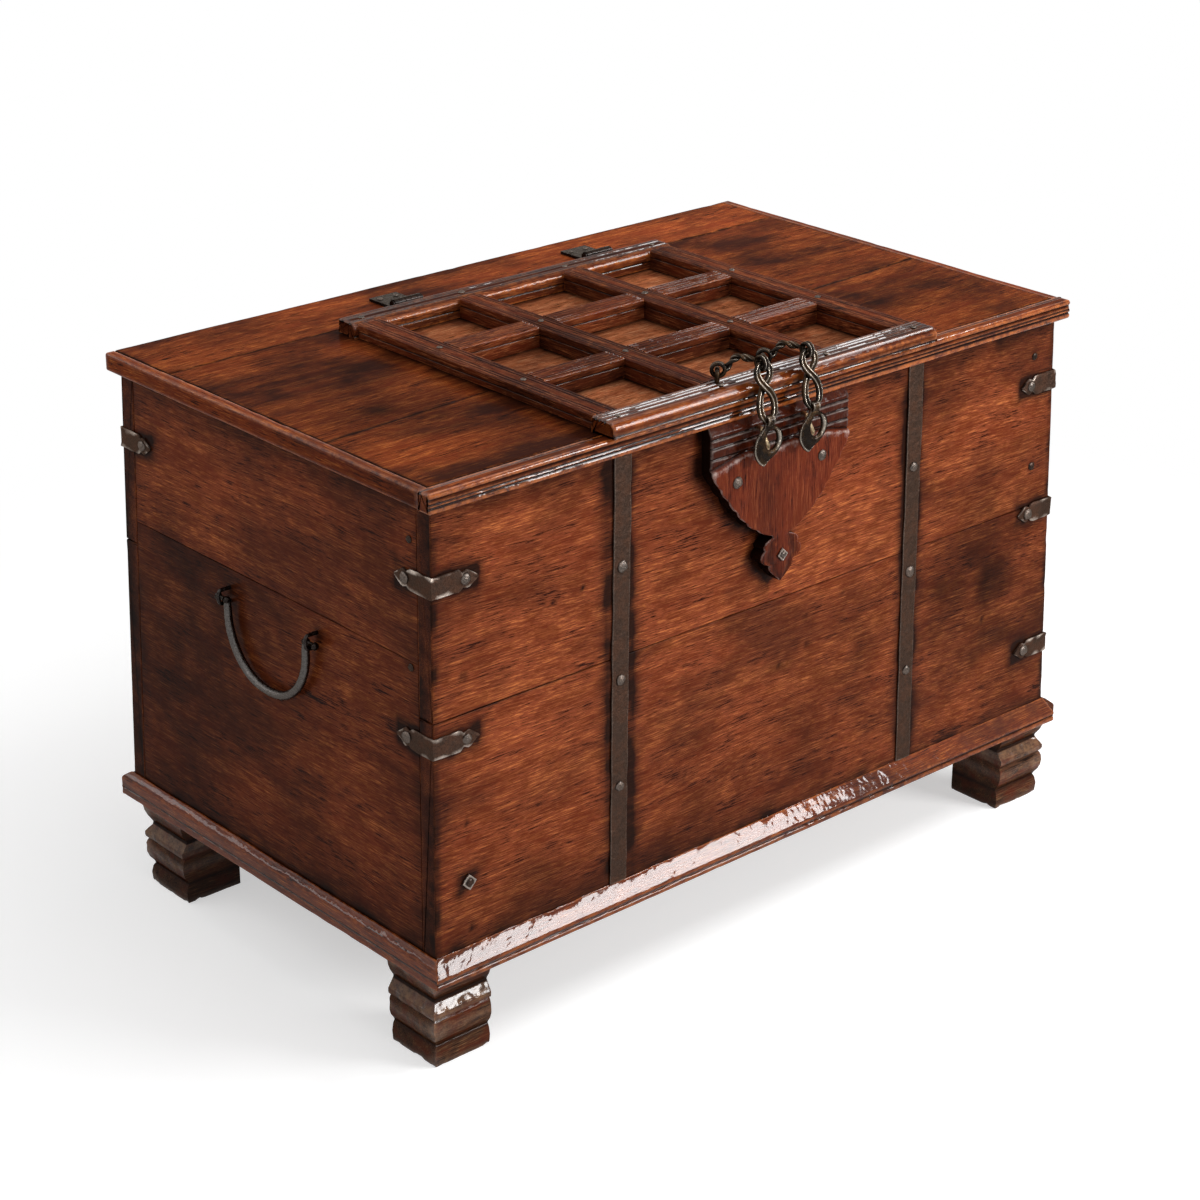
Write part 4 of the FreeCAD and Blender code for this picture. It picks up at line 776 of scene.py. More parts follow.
class DOWRY_OT_feet(bpy.types.Operator):
    """Carved feet: cove, band, ovolo and base on their outer faces"""
    bl_idname = "dowry.feet"
    bl_label = "Feet"

    def execute(self, context):
        depth = 7.0
        heights, insets = (np.array(v) for v in zip(*FOOT_CARVING))
        points, normal, _, _ = profile([(0, 0), (1, 0), (1, 1), (0, 1)], 0.02, 0.045)
        columns = len(points)
        share = np.repeat(np.unique(np.concatenate([np.linspace(0, 1, 88), heights])), columns)
        rows = len(share) // columns
        inset = np.interp(share, heights, insets) * depth
        for number, (name, sx, sy) in enumerate(CORNERS):
            low, high = cad("foot_" + name)
            span, tall = high[0] - low[0] - inset, high[2]
            corner = np.where([sx < 0, sy < 0], low[:2], high[:2])
            flat = np.stack([inset + np.tile(points[:, 0], rows) * span, inset + np.tile(points[:, 1], rows) * span,
                             share * tall], 1)
            outer = np.minimum(flat[:, 0], flat[:, 1])
            to_arris = np.hypot(flat[:, 0] - outer.min(), flat[:, 1] - outer.min())
            chip = np.maximum(lattice(flat / (7, 7, 9) + number * 5.1, number + 40), 0)
            level = flat[:, 2] / tall
            # the bevel takes the rub mark so that its wax shines; this also paints it lighter and leaves it less dark
            # than the hollows, as painted highlight
            bevel = (level > 0.652) & (level < 0.752)
            near = np.clip(np.exp(-to_arris / 8.0) + 0.7 * np.exp(-inset / 1.2) + np.exp(-flat[:, 2] / 5.0)
                           + 0.9 * bevel, 0, 1)
            off = 0.15 + 0.3 * np.abs(lattice(flat / 22 + number, number)) + near * 1.8 * chip ** 1.6
            off *= eased((tall - flat[:, 2]) / 3 + 0.1)
            flat[:, :2] -= np.tile(normal, (rows, 1)) * off[:, None]
            flat[:, 2] += np.where((np.minimum(flat[:, 0], flat[:, 1]) < 20) & (flat[:, 2] < 0.01), chip * 2.0, 0)
            placed = np.stack([corner[0] - sx * flat[:, 0], corner[1] - sy * flat[:, 1], flat[:, 2]], 1)
            hollow = np.clip(inset / depth, 0, 1) ** 2
            shape = Shape()
            shape.take(placed, ladder(rows, columns), flat * MM + 0.4 * number, near * 0.8,
                       np.where(bevel, 0.25, 0.85) * hollow)
            shape.piece("foot_" + name, "foot", "foot_wood", sharp=45)
        return {"FINISHED"}


def plate(node, xs, edges, hole_x, hole_band, seed, tone):
    """A plank of the top as a grid between edges that are functions of x, sawn out for the lid between two of them."""
    lines = [edge(xs) for edge in edges]
    rows = [(low + (high - low) * share, k) for k, (low, high) in enumerate(zip(lines, lines[1:]))
            for share in cuts(float(np.max(high - low)), 6.0)] + [(lines[-1], len(lines) - 2)]
    y, band = np.array([row[0] for row in rows]), [row[1] for row in rows]
    n, m = y.shape
    x = np.repeat(xs[None], n, 0)
    gap = np.minimum.reduce([x - xs[0], xs[-1] - x, y - lines[0], lines[-1] - y])
    if hole_band is not None:
        beyond = np.maximum(lines[hole_band] - y, y - lines[hole_band + 1])
        gap = np.minimum(gap, np.hypot(np.maximum(np.abs(x) - hole_x, 0), np.maximum(beyond, 0)))
    gap = np.maximum(gap, 0).ravel()
    local = np.stack([x.ravel(), y.ravel(), np.zeros(n * m)], 1)
    chip = np.maximum(lattice(local / (14, 7, 7) + seed, seed + 3), 0) ** 2
    drop = (rounded(gap, 1.4) + 0.35 * (1 + lattice(local / (80, 35, 35) + seed, seed))
            + np.exp(-gap / 3.5) * 1.1 * chip)
    faces, sides = [], set()
    for i, j in np.ndindex(n - 1, m - 1):
        if band[i] == hole_band and abs(xs[j] + xs[j + 1]) / 2 < hole_x:
            continue
        first = i * m + j
        ring = (first, first + 1, first + 1 + m, first + m)
        faces += [ring, tuple(q + n * m for q in ring[::-1])]
        sides.update(zip(ring, ring[1:] + ring[:1]))
    faces += [(b, a, a + n * m, b + n * m) for a, b in sorted(sides) if (b, a) not in sides]
    used, index = np.unique(np.array(faces), return_inverse=True)
    level = np.concatenate([TOP_Z - drop, np.full(n * m, CASE_TOP)])[used]
    points = np.column_stack([np.tile(local, (2, 1))[used, :2], level])
    rub_and_highlight, seam = (np.concatenate([most * np.exp(-gap / fade), gap * 0])[used]
                 for most, fade in ((0.75, 4.0), (1.5, 1.5)))
    # dark old wax beside the lid, and behind its lattice
    left, right = cad("lid_bar_left")[0][0], cad("lid_bar_right")[1][0]
    beside = np.hypot(np.maximum(np.maximum(left - points[:, 0], points[:, 0] - right), 0),
                      np.maximum(points[:, 1] - cad("lid_rail_back")[1][1], 0))
    seam = np.maximum(seam, 0.8 * np.exp(-beside / 9.0)) * (1 + 0.5 * lattice(points / 15.0, 41))
    shape = Shape()
    shape.take(points, index.reshape(-1, 4).tolist(), points * MM + np.array([0.31, 0.77, 0.13]) * (seed + 1), rub_and_highlight,
               seam, tone + darker_and_lighter(points))
    shape.piece(node, "top", "top_wood")


class DOWRY_OT_top(bpy.types.Operator):
    """Planks, end strips and reeded front strip of the fixed top"""
    bl_idname = "dowry.top"
    bl_label = "Top"

    def execute(self, context):
        front, middle, back, lid = (cad(node) for node in (
            "top_plank_front", "top_plank_middle", "top_plank_back", "lid_boards"))
        run, hole_x, play = front[1][0], lid[1][0] + 2.0, 2.0

        def edge(y_left, y_right=None):
            """A straight edge of a plank, as a function of x."""
            y_right = y_left if y_right is None else y_right
            return lambda x: y_left + (y_right - y_left) * (x + run) / (2 * run)
        left = np.concatenate([
            [-run, -run + 0.5, -run + 1.4, -run + 3], np.arange(-run + 8, -hole_x - 5, 6.0),
            [-hole_x - 3, -hole_x - 1.2, -hole_x, -hole_x + 3], np.arange(-hole_x + 12, 0, 9.0)])
        xs = np.concatenate([left, [0.0], -left[::-1]])
        seam_front, seam_back = edge(middle[0][1], front[1][1]), edge(back[0][1], middle[1][1])
        plate("top_plank_front", xs, [edge(front[0][1]), edge(lid[0][1] - play), seam_front], hole_x, 1, 50, 0.02)
        plate("top_plank_middle", xs, [seam_front, edge(lid[1][1] + play), seam_back], hole_x, 0, 51, -0.02)
        plate("top_plank_back", xs, [seam_back, edge(back[1][1])], hole_x, None, 52, 0.16)
        z0, z1 = CASE_TOP, TOP_Z
        for number, (side, sign) in enumerate(SIDES):
            low, high = cad("top_end_" + side)
            inner, outer = sorted((abs(low[0]), abs(high[0])))
            board("top_end_" + side, "trim", "trim_wood",
                  rectangle(inner, outer, z0, z1, (0.5, 3.2, 3.4, 1.0), 2.6), high[1] - low[1],
                  lambda s, a, b: (sign * a, low[1] + (high[1] - low[1]) * s, b), seed=54 + number, step=4.0,
                  wear=0.7, ends=1.2, ripple=0.4, tone=0.05, rubbing=0.8)
        low, high = cad("top_front_strip")
        y0, y1 = low[1], high[1]
        reeded = profile(
            [(y1, z0), (y0 + 1.2, z0), (y0, z0 + 1.8), (y0, z0 + 4.4), (y0 + 1.5, z0 + 5.9), (y0 + 1.7, z0 + 6.6),
             (y0 + 0.2, z0 + 7.4), (y0 + 0.2, z0 + 8.2), (y0 + 1.7, z0 + 9.7), (y0 + 0.9, z0 + 10.8),
             (y0 + 1.6, z0 + 14.2), (y0, z0 + 16.0), (y0, z1 - 2.2), (y0 + 2.2, z1), (y0 + 12.6, z1),
             (y0 + 13.6, z1 - 0.9), (y0 + 14.6, z1), (y1, z1)],
            (0.4, 1.0, 1.2, 0.5, 0.4, 0.4, 0.5, 0.4, 0.4, 0.6, 1.0, 0.7, 0.6, 0.6, 0.5, 0.3, 0.5, 0.4), 2.4, 1.6)
        board("top_front_strip", "trim", "trim_wood", reeded, *along_x(low[0], high[0]), seed=57, step=4.0, wear=0.2,
              ends=2.4, ripple=0.35)
        return {"FINISHED"}


class DOWRY_OT_lid(bpy.types.Operator):
    """Reeded lattice of the lid and the floors of its coffers"""
    bl_idname = "dowry.lid"
    bl_label = "Lid"

    def execute(self, context):
        low, high = cad("lid_boards")
        base, floor, reach = TOP_Z + 0.3, high[2], high[0]
        y_back, y_front = cad("lid_rail_back")[0][1], cad("lid_rail_front")[1][1]
        carved = dict(step=4.0, ends=0.3, wear=0.10, rubbing=0.5)
        walls_x, walls_y, middles = [], [y_back, y_front], []
        for number, name in enumerate(("left", "inner_left", "inner_right", "right")):
            x0, x1 = (corner[0] for corner in cad("lid_bar_" + name))
            walls_x += [x0, x1]
            board("lid_bar_" + name, "lid", "lid_wood",
                  self.bar_outline(x0, x1, base, floor, reach, (0.84, 0.70, 0.30, 0.16)), y_back - y_front,
                  lambda s, a, b: (a, y_front + (y_back - y_front) * s, b), "lid", seed=60 + number, **carved)
        for number, name in enumerate(("back", "front")):
            y0, y1 = (corner[1] for corner in cad("lid_cross_bar_" + name))
            walls_y += [y0, y1]
            middles.append((y0 + y1) / 2)
            outline = self.bar_outline(y0, y1, floor, floor, math.inf, (0.86, 0.72, 0.50, 0.28, 0.14))
            shape = Shape()
            for part, (x0, x1) in enumerate(zip(walls_x[1::2], walls_x[2::2])):
                swept(shape, outline, *along_x(x0, x1), seed=66 + 3 * number + part, **carved)
            shape.piece("lid_cross_bar_" + name, "lid", "lid_wood", "lid")
        half = cad("lid_rail_back")[1][0]
        for seed, name, finish, reeds in ((72, "back", "lid", (0.72, 0.30)), (73, "front", "trim", (0.80, 0.64, 0.42))):
            y0, y1 = (corner[1] for corner in cad("lid_rail_" + name))
            # the rail's inner side goes down to the boards
            under = [(y0, floor), (y0 + 13, floor), (y0 + 13, base), (y1, base)]
            if name == "front":
                under = [(y0, base), (y1 - 4, base), (y1 - 4, floor), (y1, floor)]
            line = LID_TOP - 8.0
            outline = self.reeded(
                under, [(y1, line - 1.1), (y1 - 1.1, line), (y1, line + 0.6), (y1, LID_TOP - 1.8), (y1 - 1.8, LID_TOP)],
                y0, y1, reeds, [(y0 + 5.6, LID_TOP), (y0, LID_TOP - 5.6), (y0, base + 3.0), (y0 + 1.0, base + 2.0),
                                (y0, base + 1.2)], [2.0, 2.0, 0.6, 0.3, 0.6], 2.4)
            # both rails' top faces are painted darker than their fronts: painted shade
            board("lid_rail_" + name, finish, "lid_wood", outline, *along_x(-half, half), "lid", seed=seed, step=4.0,
                  ends=1.8, wear=0.15, rubbing=0.9, tone_of=lambda p: -0.5 * (p[:, 2] > LID_TOP - 2.2))

        def coffer_wall_shade(points):
            """Painted shade on the coffers' floors along their walls."""
            gap_x, gap_y = (np.min([np.abs(points[:, axis] - v) for v in walls], axis=0)
                            for axis, walls in enumerate((walls_x, walls_y)))
            return 0.95 * np.exp(-np.minimum(gap_x, gap_y) / 6.0)
        edges = [high[1]] + middles + [low[1]]
        shape = Shape()
        for i, tone in enumerate((0.05, -0.05, 0.0)):
            swept(shape, rectangle(edges[i + 1], edges[i], low[2], high[2], 0.4, 4.0), *along_x(low[0], high[0]),
                  seed=80 + i, step=4.0, ends=0.4, wear=0.2, tone=tone, dirt_and_shade_of=coffer_wall_shade)
        shape.piece("lid_boards", "coffer", "lid_wood", "lid")
        return {"FINISHED"}

    def bar_outline(self, x0, x1, base, floor, reach, reeds):
        """Outline across a bar; only the part inside the opening goes down to the boards."""
        low0, low1 = max(x0, -reach), min(x1, reach)
        under = [(low0, floor), (low1, floor)]
        if low0 > x0:
            under = [(x0, base), (low0, base)] + under
        if low1 < x1:
            under += [(low1, base), (x1, base)]
        line = LID_TOP - 9.0
        side = [(0.0, line - 0.7), (0.7, line), (0.0, line + 0.6), (0.0, LID_TOP - 1.7), (1.7, LID_TOP)]
        return self.reeded(under, [(x1 - a, z) for a, z in side], x0, x1, reeds,
                           [(x0 + a, z) for a, z in side[::-1]], [1.4, 1.0, 0.5, 0.3, 0.5], 0.9)

    def reeded(self, under, right, a0, a1, reeds, left, left_radii, rubbed):
        """Outline across a piece of the lattice, with reeds cut in its crown at shares of its width."""
        sizes, _ = settings()
        w, d = sizes.reed_width / MM / 2, sizes.reed_depth / MM
        crown = [(a0 + (a1 - a0) * share + aside, LID_TOP - down) for share in reeds
                 for aside, down in ((w, 0), (0, d), (-w, 0))]
        radii = [0.2] * len(under) + [0.5, 0.3, 0.5, 1.0, 1.4] + [0.5, 0.3, 0.5] * len(reeds) + left_radii
        return profile(under + right + crown + left, radii, 3.2, rubbed)


class DOWRY_OT_straps(bpy.types.Operator):
    """Upright iron straps and the pointed corner straps"""
    bl_idname = "dowry.straps"
    bl_label = "Iron straps"

    def execute(self, context):
        sizes, _ = settings()
        t, half = sizes.strap_thickness / MM, sizes.strap_width / MM / 2
        span = CASE_TOP - PLINTH_TOP
        for number, (side, _) in enumerate(SIDES):
            low, high = cad("front_strap_" + side)
            x_low, x_top = low[0] + half, high[0] - half

            def place(s, a, b):
                z = PLINTH_TOP + span * s
                sway = 0.5 * np.sin(s * 9.0 + number) + 0.25 * np.sin(s * 31.0)
                x = x_low + (x_top - x_low) * s + a * (1 + 0.02 * np.sin(s * 47)) + sway * 0.6
                return x, -half_depth(z) - b, z
            board("front_strap_" + side, "strap", "strap_iron", rectangle(-half, half, 0, t, (0, 0, 0.9, 0.9), 2.6),
                  span, place, seed=90 + number, step=3.0, wear=0.7, ends=0.3, ripple=0.28, rubbing=0.5)
        for number, (name, sx, sy) in enumerate(CORNERS):
            shape = Shape()
            for i, z in enumerate(strap_heights("corner_straps_" + name)):
                corner_strap(shape, sx, sy, z, t, 100 + 4 * number + i)
            shape.piece("corner_straps_" + name, "strap", "strap_iron")
        return {"FINISHED"}


def loose_parts(node):
    """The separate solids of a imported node, as arrays of points in millimetres about the case's middle."""
    work = bmesh.new()
    work.from_mesh(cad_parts[node].data)
    bmesh.ops.remove_doubles(work, verts=work.verts, dist=1e-6)
    seen, parts = set(), []
    for start in work.verts:
        if start in seen:
            continue
        stack, found = [start], []
        seen.add(start)
        while stack:
            v = stack.pop()
            found.append(v.co.copy())
            for e in v.link_edges:
                other = e.other_vert(v)
                if other not in seen:
                    seen.add(other)
                    stack.append(other)
        points = np.array(found) / MM
        points[:, 1] -= CASE_Y
        parts.append(points)
    work.free()
    return parts


def strap_heights(node):
    """Middle heights of a corner's straps."""
    return sorted((p[:, 2].min() + p[:, 2].max()) / 2 for p in loose_parts(node))


def corner_strap(shape, sx, sy, z, t, seed):
    """An iron angle strap round a corner, with a neck and a point at each end."""
    length, half = 55.0, 10.75
    leg = np.array([0, 4, 12, 20, 27, 32.0, 34, 36.5, 39, 41.8, 44.5, 48, 51, 53.4, length])
    height = np.interp(leg / length, (0, 0.58, 0.62, 0.655, 0.70, 0.78, 1.0),
                       half * np.array([1, 1, 0.92, 0.66, 0.74, 0.88, 0.7 / half]))
    ring = [(0, -1), (0.62, -1), (1, -0.94), (1, -0.55), (1, -0.2), (1, 0.2), (1, 0.55), (1, 0.94), (0.62, 1), (0, 1)]
    rows, columns = 2 * len(leg) - 1, len(ring)
    along, tall = (np.repeat(np.concatenate([v[:0:-1] * sign, v]), columns) for v, sign in ((leg, -1), (height, 1)))
    b, c = np.tile(ring, (rows, 1)).T
    level = z + c * tall * (1 + 0.03 * np.sin(along * 0.35 + seed))
    out = b * t * (1.0 + 0.35 * lattice(np.stack([along / 6.0, c * 2.0, seed + b], 1), seed))
    run = t - np.abs(along)
    turned = [np.abs(along) < 0.01, along < 0]
    x = half_width(level) + np.select(turned, [out * 0.86, run], out)
    y = half_depth(level) + np.select(turned, [out * 0.86, out], run)
    points = np.stack([sx * x, sy * y, level], 1)
    # the edges take the rub mark, unevenly: rubbed bright, and painted glints
    rub_and_highlight = np.tile([0.1, 0.8, 1.0, 0.3, 0.15, 0.15, 0.3, 1.0, 0.8, 0.1], rows)
    uneven = 0.35 + 1.5 * np.maximum(lattice(points / 6.0 + seed, seed), 0)
    shape.take(points, ladder(rows, columns), rub_and_highlight=rub_and_highlight * uneven)


def nail_tree():
    """Node tree that sets a hammered head on every point, turned to its normal."""
    tree = bpy.data.node_groups.new("hammered_nail_heads", "GeometryNodeTree")
    for name, kind, default in (("Geometry", "Geometry", None), ("Head radius", "Float", 0.006),
                                ("Head height", "Float", 0.0026), ("Seed", "Int", 7), ("Material", "Material", None)):
        made = tree.interface.new_socket(name=name, in_out="INPUT", socket_type="NodeSocket" + kind)
        if default is not None:
            made.default_value = default
    tree.interface.new_socket(name="Geometry", in_out="OUTPUT", socket_type="NodeSocketGeometry")
    inputs = {s.name: s for s in add(tree, "NodeGroupInput").outputs}
    # a forged head: a sphere squashed to its height, faceted by a few hammer blows
    head = add(tree, "GeometryNodeMeshIcoSphere", {"Radius": 1.0, "Subdivisions": 3})
    place = add(tree, "GeometryNodeInputPosition")
    blow = add(tree, "ShaderNodeTexNoise", {"Vector": place, "Scale": 1.1, "Detail": 1.0})
    amount = maths(tree, "MULTIPLY_ADD", blow, 0.5, 0.72)
    bent = add(tree, "ShaderNodeVectorMath", {0: place, "Scale": amount}, operation="SCALE")
    knocked = add(tree, "GeometryNodeSetPosition", {"Geometry": head, "Position": bent})
    normal = add(tree, "GeometryNodeInputNamedAttribute", {"Name": "out"}, data_type="FLOAT_VECTOR")
    size = add(tree, "GeometryNodeInputNamedAttribute", {"Name": "size"}, data_type="FLOAT")
    turn = add(tree, "FunctionNodeAlignRotationToVector", {"Vector": normal}, axis="Z")
    spin, vary = (add(tree, "FunctionNodeRandomValue", {2: least, 3: most, "Seed": inputs["Seed"]}, data_type="FLOAT")
                  for least, most in ((0.0, 6.28), (0.88, 1.08)))
    about = add(tree, "FunctionNodeAxisAngleToRotation", {"Axis": (0.0, 0.0, 1.0), "Angle": spin})
    turned = add(tree, "FunctionNodeRotateRotation", {"Rotation": turn, "Rotate By": about}, rotation_space="LOCAL")
    each = maths(tree, "MULTIPLY", vary, size)
    wide, tall = (maths(tree, "MULTIPLY", each, inputs[name]) for name in ("Head radius", "Head height"))
    scale = add(tree, "ShaderNodeCombineXYZ", {0: wide, 1: wide, 2: tall})
    spots = add(tree, "GeometryNodeMeshToPoints", {"Mesh": inputs["Geometry"]})
    placed = add(tree, "GeometryNodeInstanceOnPoints",
                 {"Points": spots, "Instance": knocked, "Rotation": turned, "Scale": scale})
    real = add(tree, "GeometryNodeRealizeInstances", {"Geometry": placed})
    skin = add(tree, "GeometryNodeSetMaterial", {"Geometry": real, "Material": inputs["Material"]})
    add(tree, "NodeGroupOutput", {"Geometry": skin})
    return tree


def grown(name, spots, tree, values, body, nodes, worn_and_highlight):
    """Runs a tree on points with normals and sizes, and keeps the result as a plain mesh."""
    places, normals, scales = (np.array(v, float) for v in zip(*spots))
    mesh = bpy.data.meshes.new(name + "_spots")
    mesh.from_pydata(((places + [0, CASE_Y, 0]) * MM).tolist(), [], [])
    mesh.attributes.new("out", "FLOAT_VECTOR", "POINT").data.foreach_set("vector", normals.astype(np.float32).ravel())
    mesh.attributes.new("size", "FLOAT", "POINT").data.foreach_set("value", scales.astype(np.float32))
    holder = linked(name + "_spots", mesh)
    modifier = holder.modifiers.new("heads", "NODES")
    modifier.node_group = tree
    sockets = {s.name: s.identifier for s in tree.interface.items_tree if s.in_out == "INPUT"}
    for key, value in values.items():
        modifier[sockets[key]] = value
    bpy.context.view_layer.update()
    plain = bpy.data.meshes.new_from_object(holder.evaluated_get(bpy.context.evaluated_depsgraph_get()))
    plain.name = name
    bpy.data.objects.remove(holder)
    if not plain.materials:
        plain.materials.append(values["Material"])
    rub_and_highlight = plain.attributes.new("rub_and_highlight", "FLOAT", "POINT")
    rub_and_highlight.data.foreach_set("value", np.full(len(plain.vertices), worn_and_highlight, np.float32))
    plain.polygons.foreach_set("use_smooth", [True] * len(plain.polygons))
    tied(linked(name, plain), body, nodes)


def facing(points):
    """The outward direction of a nail, from where it sits."""
    centre = points.mean(0)
    if points[:, 2].min() > TOP_Z - 1:
        return np.array([0, 0, 1.0])
    on_front = abs(abs(centre[1]) - half_depth(centre[2])) < 22 and abs(centre[0]) < half_width(centre[2])
    if on_front and abs(abs(centre[0]) - half_width(centre[2])) > 6:
        return np.array([0, np.sign(centre[1]), FRONT_LEAN])
    return np.array([np.sign(centre[0]), 0, SIDE_LEAN])


class DOWRY_OT_nails(bpy.types.Operator):
    """Hammered nail heads and diamond washers"""
    bl_idname = "dowry.nails"
    bl_label = "Nails"

    def execute(self, context):
        sizes, _ = settings()
        tree = nail_tree()
        values = {"Head radius": 0.006, "Head height": 0.0027, "Seed": sizes.nail_seed, "Material": finish_of("nail")}
        for node in ("strap_nails", "case_nails", "lock_plate_nails", "hinge_nails", "lid_nails"):
            body = "lid" if node == "lid_nails" else "case"
            # the small nails near the corners have wide heads for their size, and keep their black scale; the others
            # are rubbed bright in places, partly as painted highlight
            widened, worn_and_highlight = (1.25, 0.18) if node == "case_nails" else (1.0, 0.46)
            spots, washers = [], Shape()
            for points in loose_parts(node):
                out = facing(points)
                out = out / np.linalg.norm(out)
                along = points @ out
                centre = points.mean(0)
                if len(points) <= 12:
                    self.washer(washers, points, out)
                    continue
                across = points - np.outer(along, out)
                radius = np.linalg.norm(across - across.mean(0), axis=1).max()
                seat = centre + out * (along.min() - centre @ out)
                spots.append((seat, out, radius / 6.0 * widened))
            grown(node + "_iron", spots, tree, values, body, [node], worn_and_highlight)
            if washers.count:
                washers.piece(None, "nail", "nail_iron", body, node.replace("nails", "washer") + "_iron")
        return {"FINISHED"}

    def washer(self, shape, points, out):
        """A diamond of sheet iron, from the node's own corners, with a rounded rim."""
        along = points @ out
        low, high = along.min(), along.max()
        seat = points[np.abs(along - low) < (high - low) * 0.5]
        centre = seat.mean(0)
        arms = seat - centre
        first = arms[0] / np.linalg.norm(arms[0])
        corners = arms[np.argsort(np.arctan2(arms @ np.cross(out, first), arms @ first))]
        rim = np.array([a * (1 - share) + b * share for a, b in zip(corners, np.roll(corners, -1, 0))
                        for share in (0.03, 0.25, 0.5, 0.75)])
        rings = ((1.0, 0.0), (1.0, 0.6), (0.93, 1.0), (0.5, 1.0), (0.1, 1.0))
        shape.take(np.concatenate([centre + rim * scale + out * (high - low) * share for scale, share in rings]),
                   ladder(len(rings), len(rim)), rub_and_highlight=np.repeat([0.2, 0.9, 0.9, 0.3, 0.2], len(rim)))


class DOWRY_OT_lock_plate(bpy.types.Operator):
    """Carved wooden lock plate with its reeded head, shield and lobed pendant"""
    bl_idname = "dowry.lock_plate"
    bl_label = "Lock plate"

    def execute(self, context):
        low, high = cad("lock_plate")
        half, length, thick, proud = high[0], CASE_TOP - low[2], 14.0, 2.6
        drops, shares = zip(*PLATE_OUTLINE)
        rows = np.unique(np.concatenate([np.linspace(0, 0.996, 190), drops[1:-1], [0.003, 0.006, 0.012, 0.72, 0.728]]))
        level = (CASE_TOP - rows * length)[:, None]
        width = (half * np.interp(rows, drops, shares))[:, None]
        across = np.concatenate([[-1, -0.996, -0.984, -0.96], np.linspace(-0.92, 0.92, 73), [0.96, 0.984, 0.996, 1]])
        x = across * np.maximum(width, 0.6)
        z = np.broadcast_to(level, x.shape)
        # the shield's wavy crest, as heights over its shoulders in shares of the plate's half width
        crest_up = (0.0, 0.035, 0.075, 0.105, 0.06, 0.02, 0.075, 0.09, 0.05, 0.085, 0.065, 0.03, 0.0)
        shoulder = CASE_TOP - 43.5
        crest = shoulder + half * np.interp(x / half, np.linspace(-1, 1, len(crest_up)), crest_up)
        drop, below = CASE_TOP - z, crest - z
        head = below < -3.0
        face = thick + proud * eased((below + 0.6) / 1.8) - 1.5 * ridge(below, -1.6, 1.5)
        face = np.where(z > shoulder - 30, face, thick + proud)
        reeds = (11.5, 20.5, 31.5)
        for line, deep, wide in zip(reeds, (1.0, 1.0, 1.1), (0.8, 0.8, 0.9)):
            face = face + head * (0.45 * ridge(drop, line + 2.2, 1.3) - deep * ridge(drop, line, wide))
        face = face - np.clip(8 - drop, 0, 8) * 0.5
        edge = width - np.abs(x)
        end = np.clip(2.2 - (z - low[2]), 0, 2.2)
        spots = np.stack([x, z, face], -1).reshape(-1, 3)
        tooled = 0.25 * (1 + lattice(spots / (9, 14, 9), 5)) + 0.5 * np.maximum(lattice(spots / 5, 8), 0) ** 2
        # hollow beside the raised lobes of the pendant
        pendant = eased((drop / length - 0.72) / 0.03)
        cheek = ridge(np.abs(x), 0.62 * width, 0.20 * width + 0.5) * pendant
        wall = half_depth(level)
        out = half_depth(z) + face - rounded(edge, 1.6) - end * 0.6 - tooled.reshape(x.shape) - 0.9 * cheek
        crest_sheen = ridge(below, 2.2, 1.8) * (z > shoulder - 22)
        grooves, groove_lip_highlights = (sum(ridge(drop, line + under, wide) for line in reeds) * head
                         for under, wide in ((0, 1.0), (1.5, 0.6)))
        # rub mark: rubbed arrises; painted grey sheen on the crest's lip, in a band under the crest and over the head;
        # painted highlight lines on the lower lips of the head's grooves
        rub_and_highlight = np.exp(-edge / 1.4) * 0.8 + crest_sheen * 0.7 + groove_lip_highlights * 2.0 + head * 0.30 + 0.40 * ridge(below, 5.5, 4.5)
        dirt_and_shade = np.clip(head * 0.22 + grooves * 0.8 + 0.9 * ridge(below, -1.4, 1.6) + 0.5 * cheek, 0, 1)
        tone = np.where(head, -0.50, 0.06 * (1 - pendant))
        # four more points close each ring behind the face; the side walls they make are painted black and darker, as
        # painted shade
        x = np.concatenate([x, x[:, [-1, -1, 0, 0]]], 1)
        y = -np.concatenate([out, out[:, -1:] - 1.2, wall, wall, out[:, :1] - 1.2], 1)
        points = np.stack([x, y, np.broadcast_to(level, x.shape)], -1).reshape(-1, 3)
        marks = (np.pad(mark, ((0, 0), (0, 4)), constant_values=back).ravel()
                 for mark, back in ((rub_and_highlight, 0.0), (dirt_and_shade, 1.0), (tone, -0.6)))
        shape = Shape()
        shape.take(points, ladder(*x.shape), points[:, [2, 0, 1]] * MM + 3.1, *marks)
        shape.piece("lock_plate", "lock", "trim_wood")
        return {"FINISHED"}


def ridge(values, middle, width):
    """A bump of height 1 round a middle value."""
    return np.exp(-((values - middle) / width) ** 2)


def chain_sides():
    """Each chain's side and the x of its middle."""
    for side, _ in SIDES:
        low, high = cad("chain_link_lower_" + side)
        yield side, (low[0] + high[0]) / 2


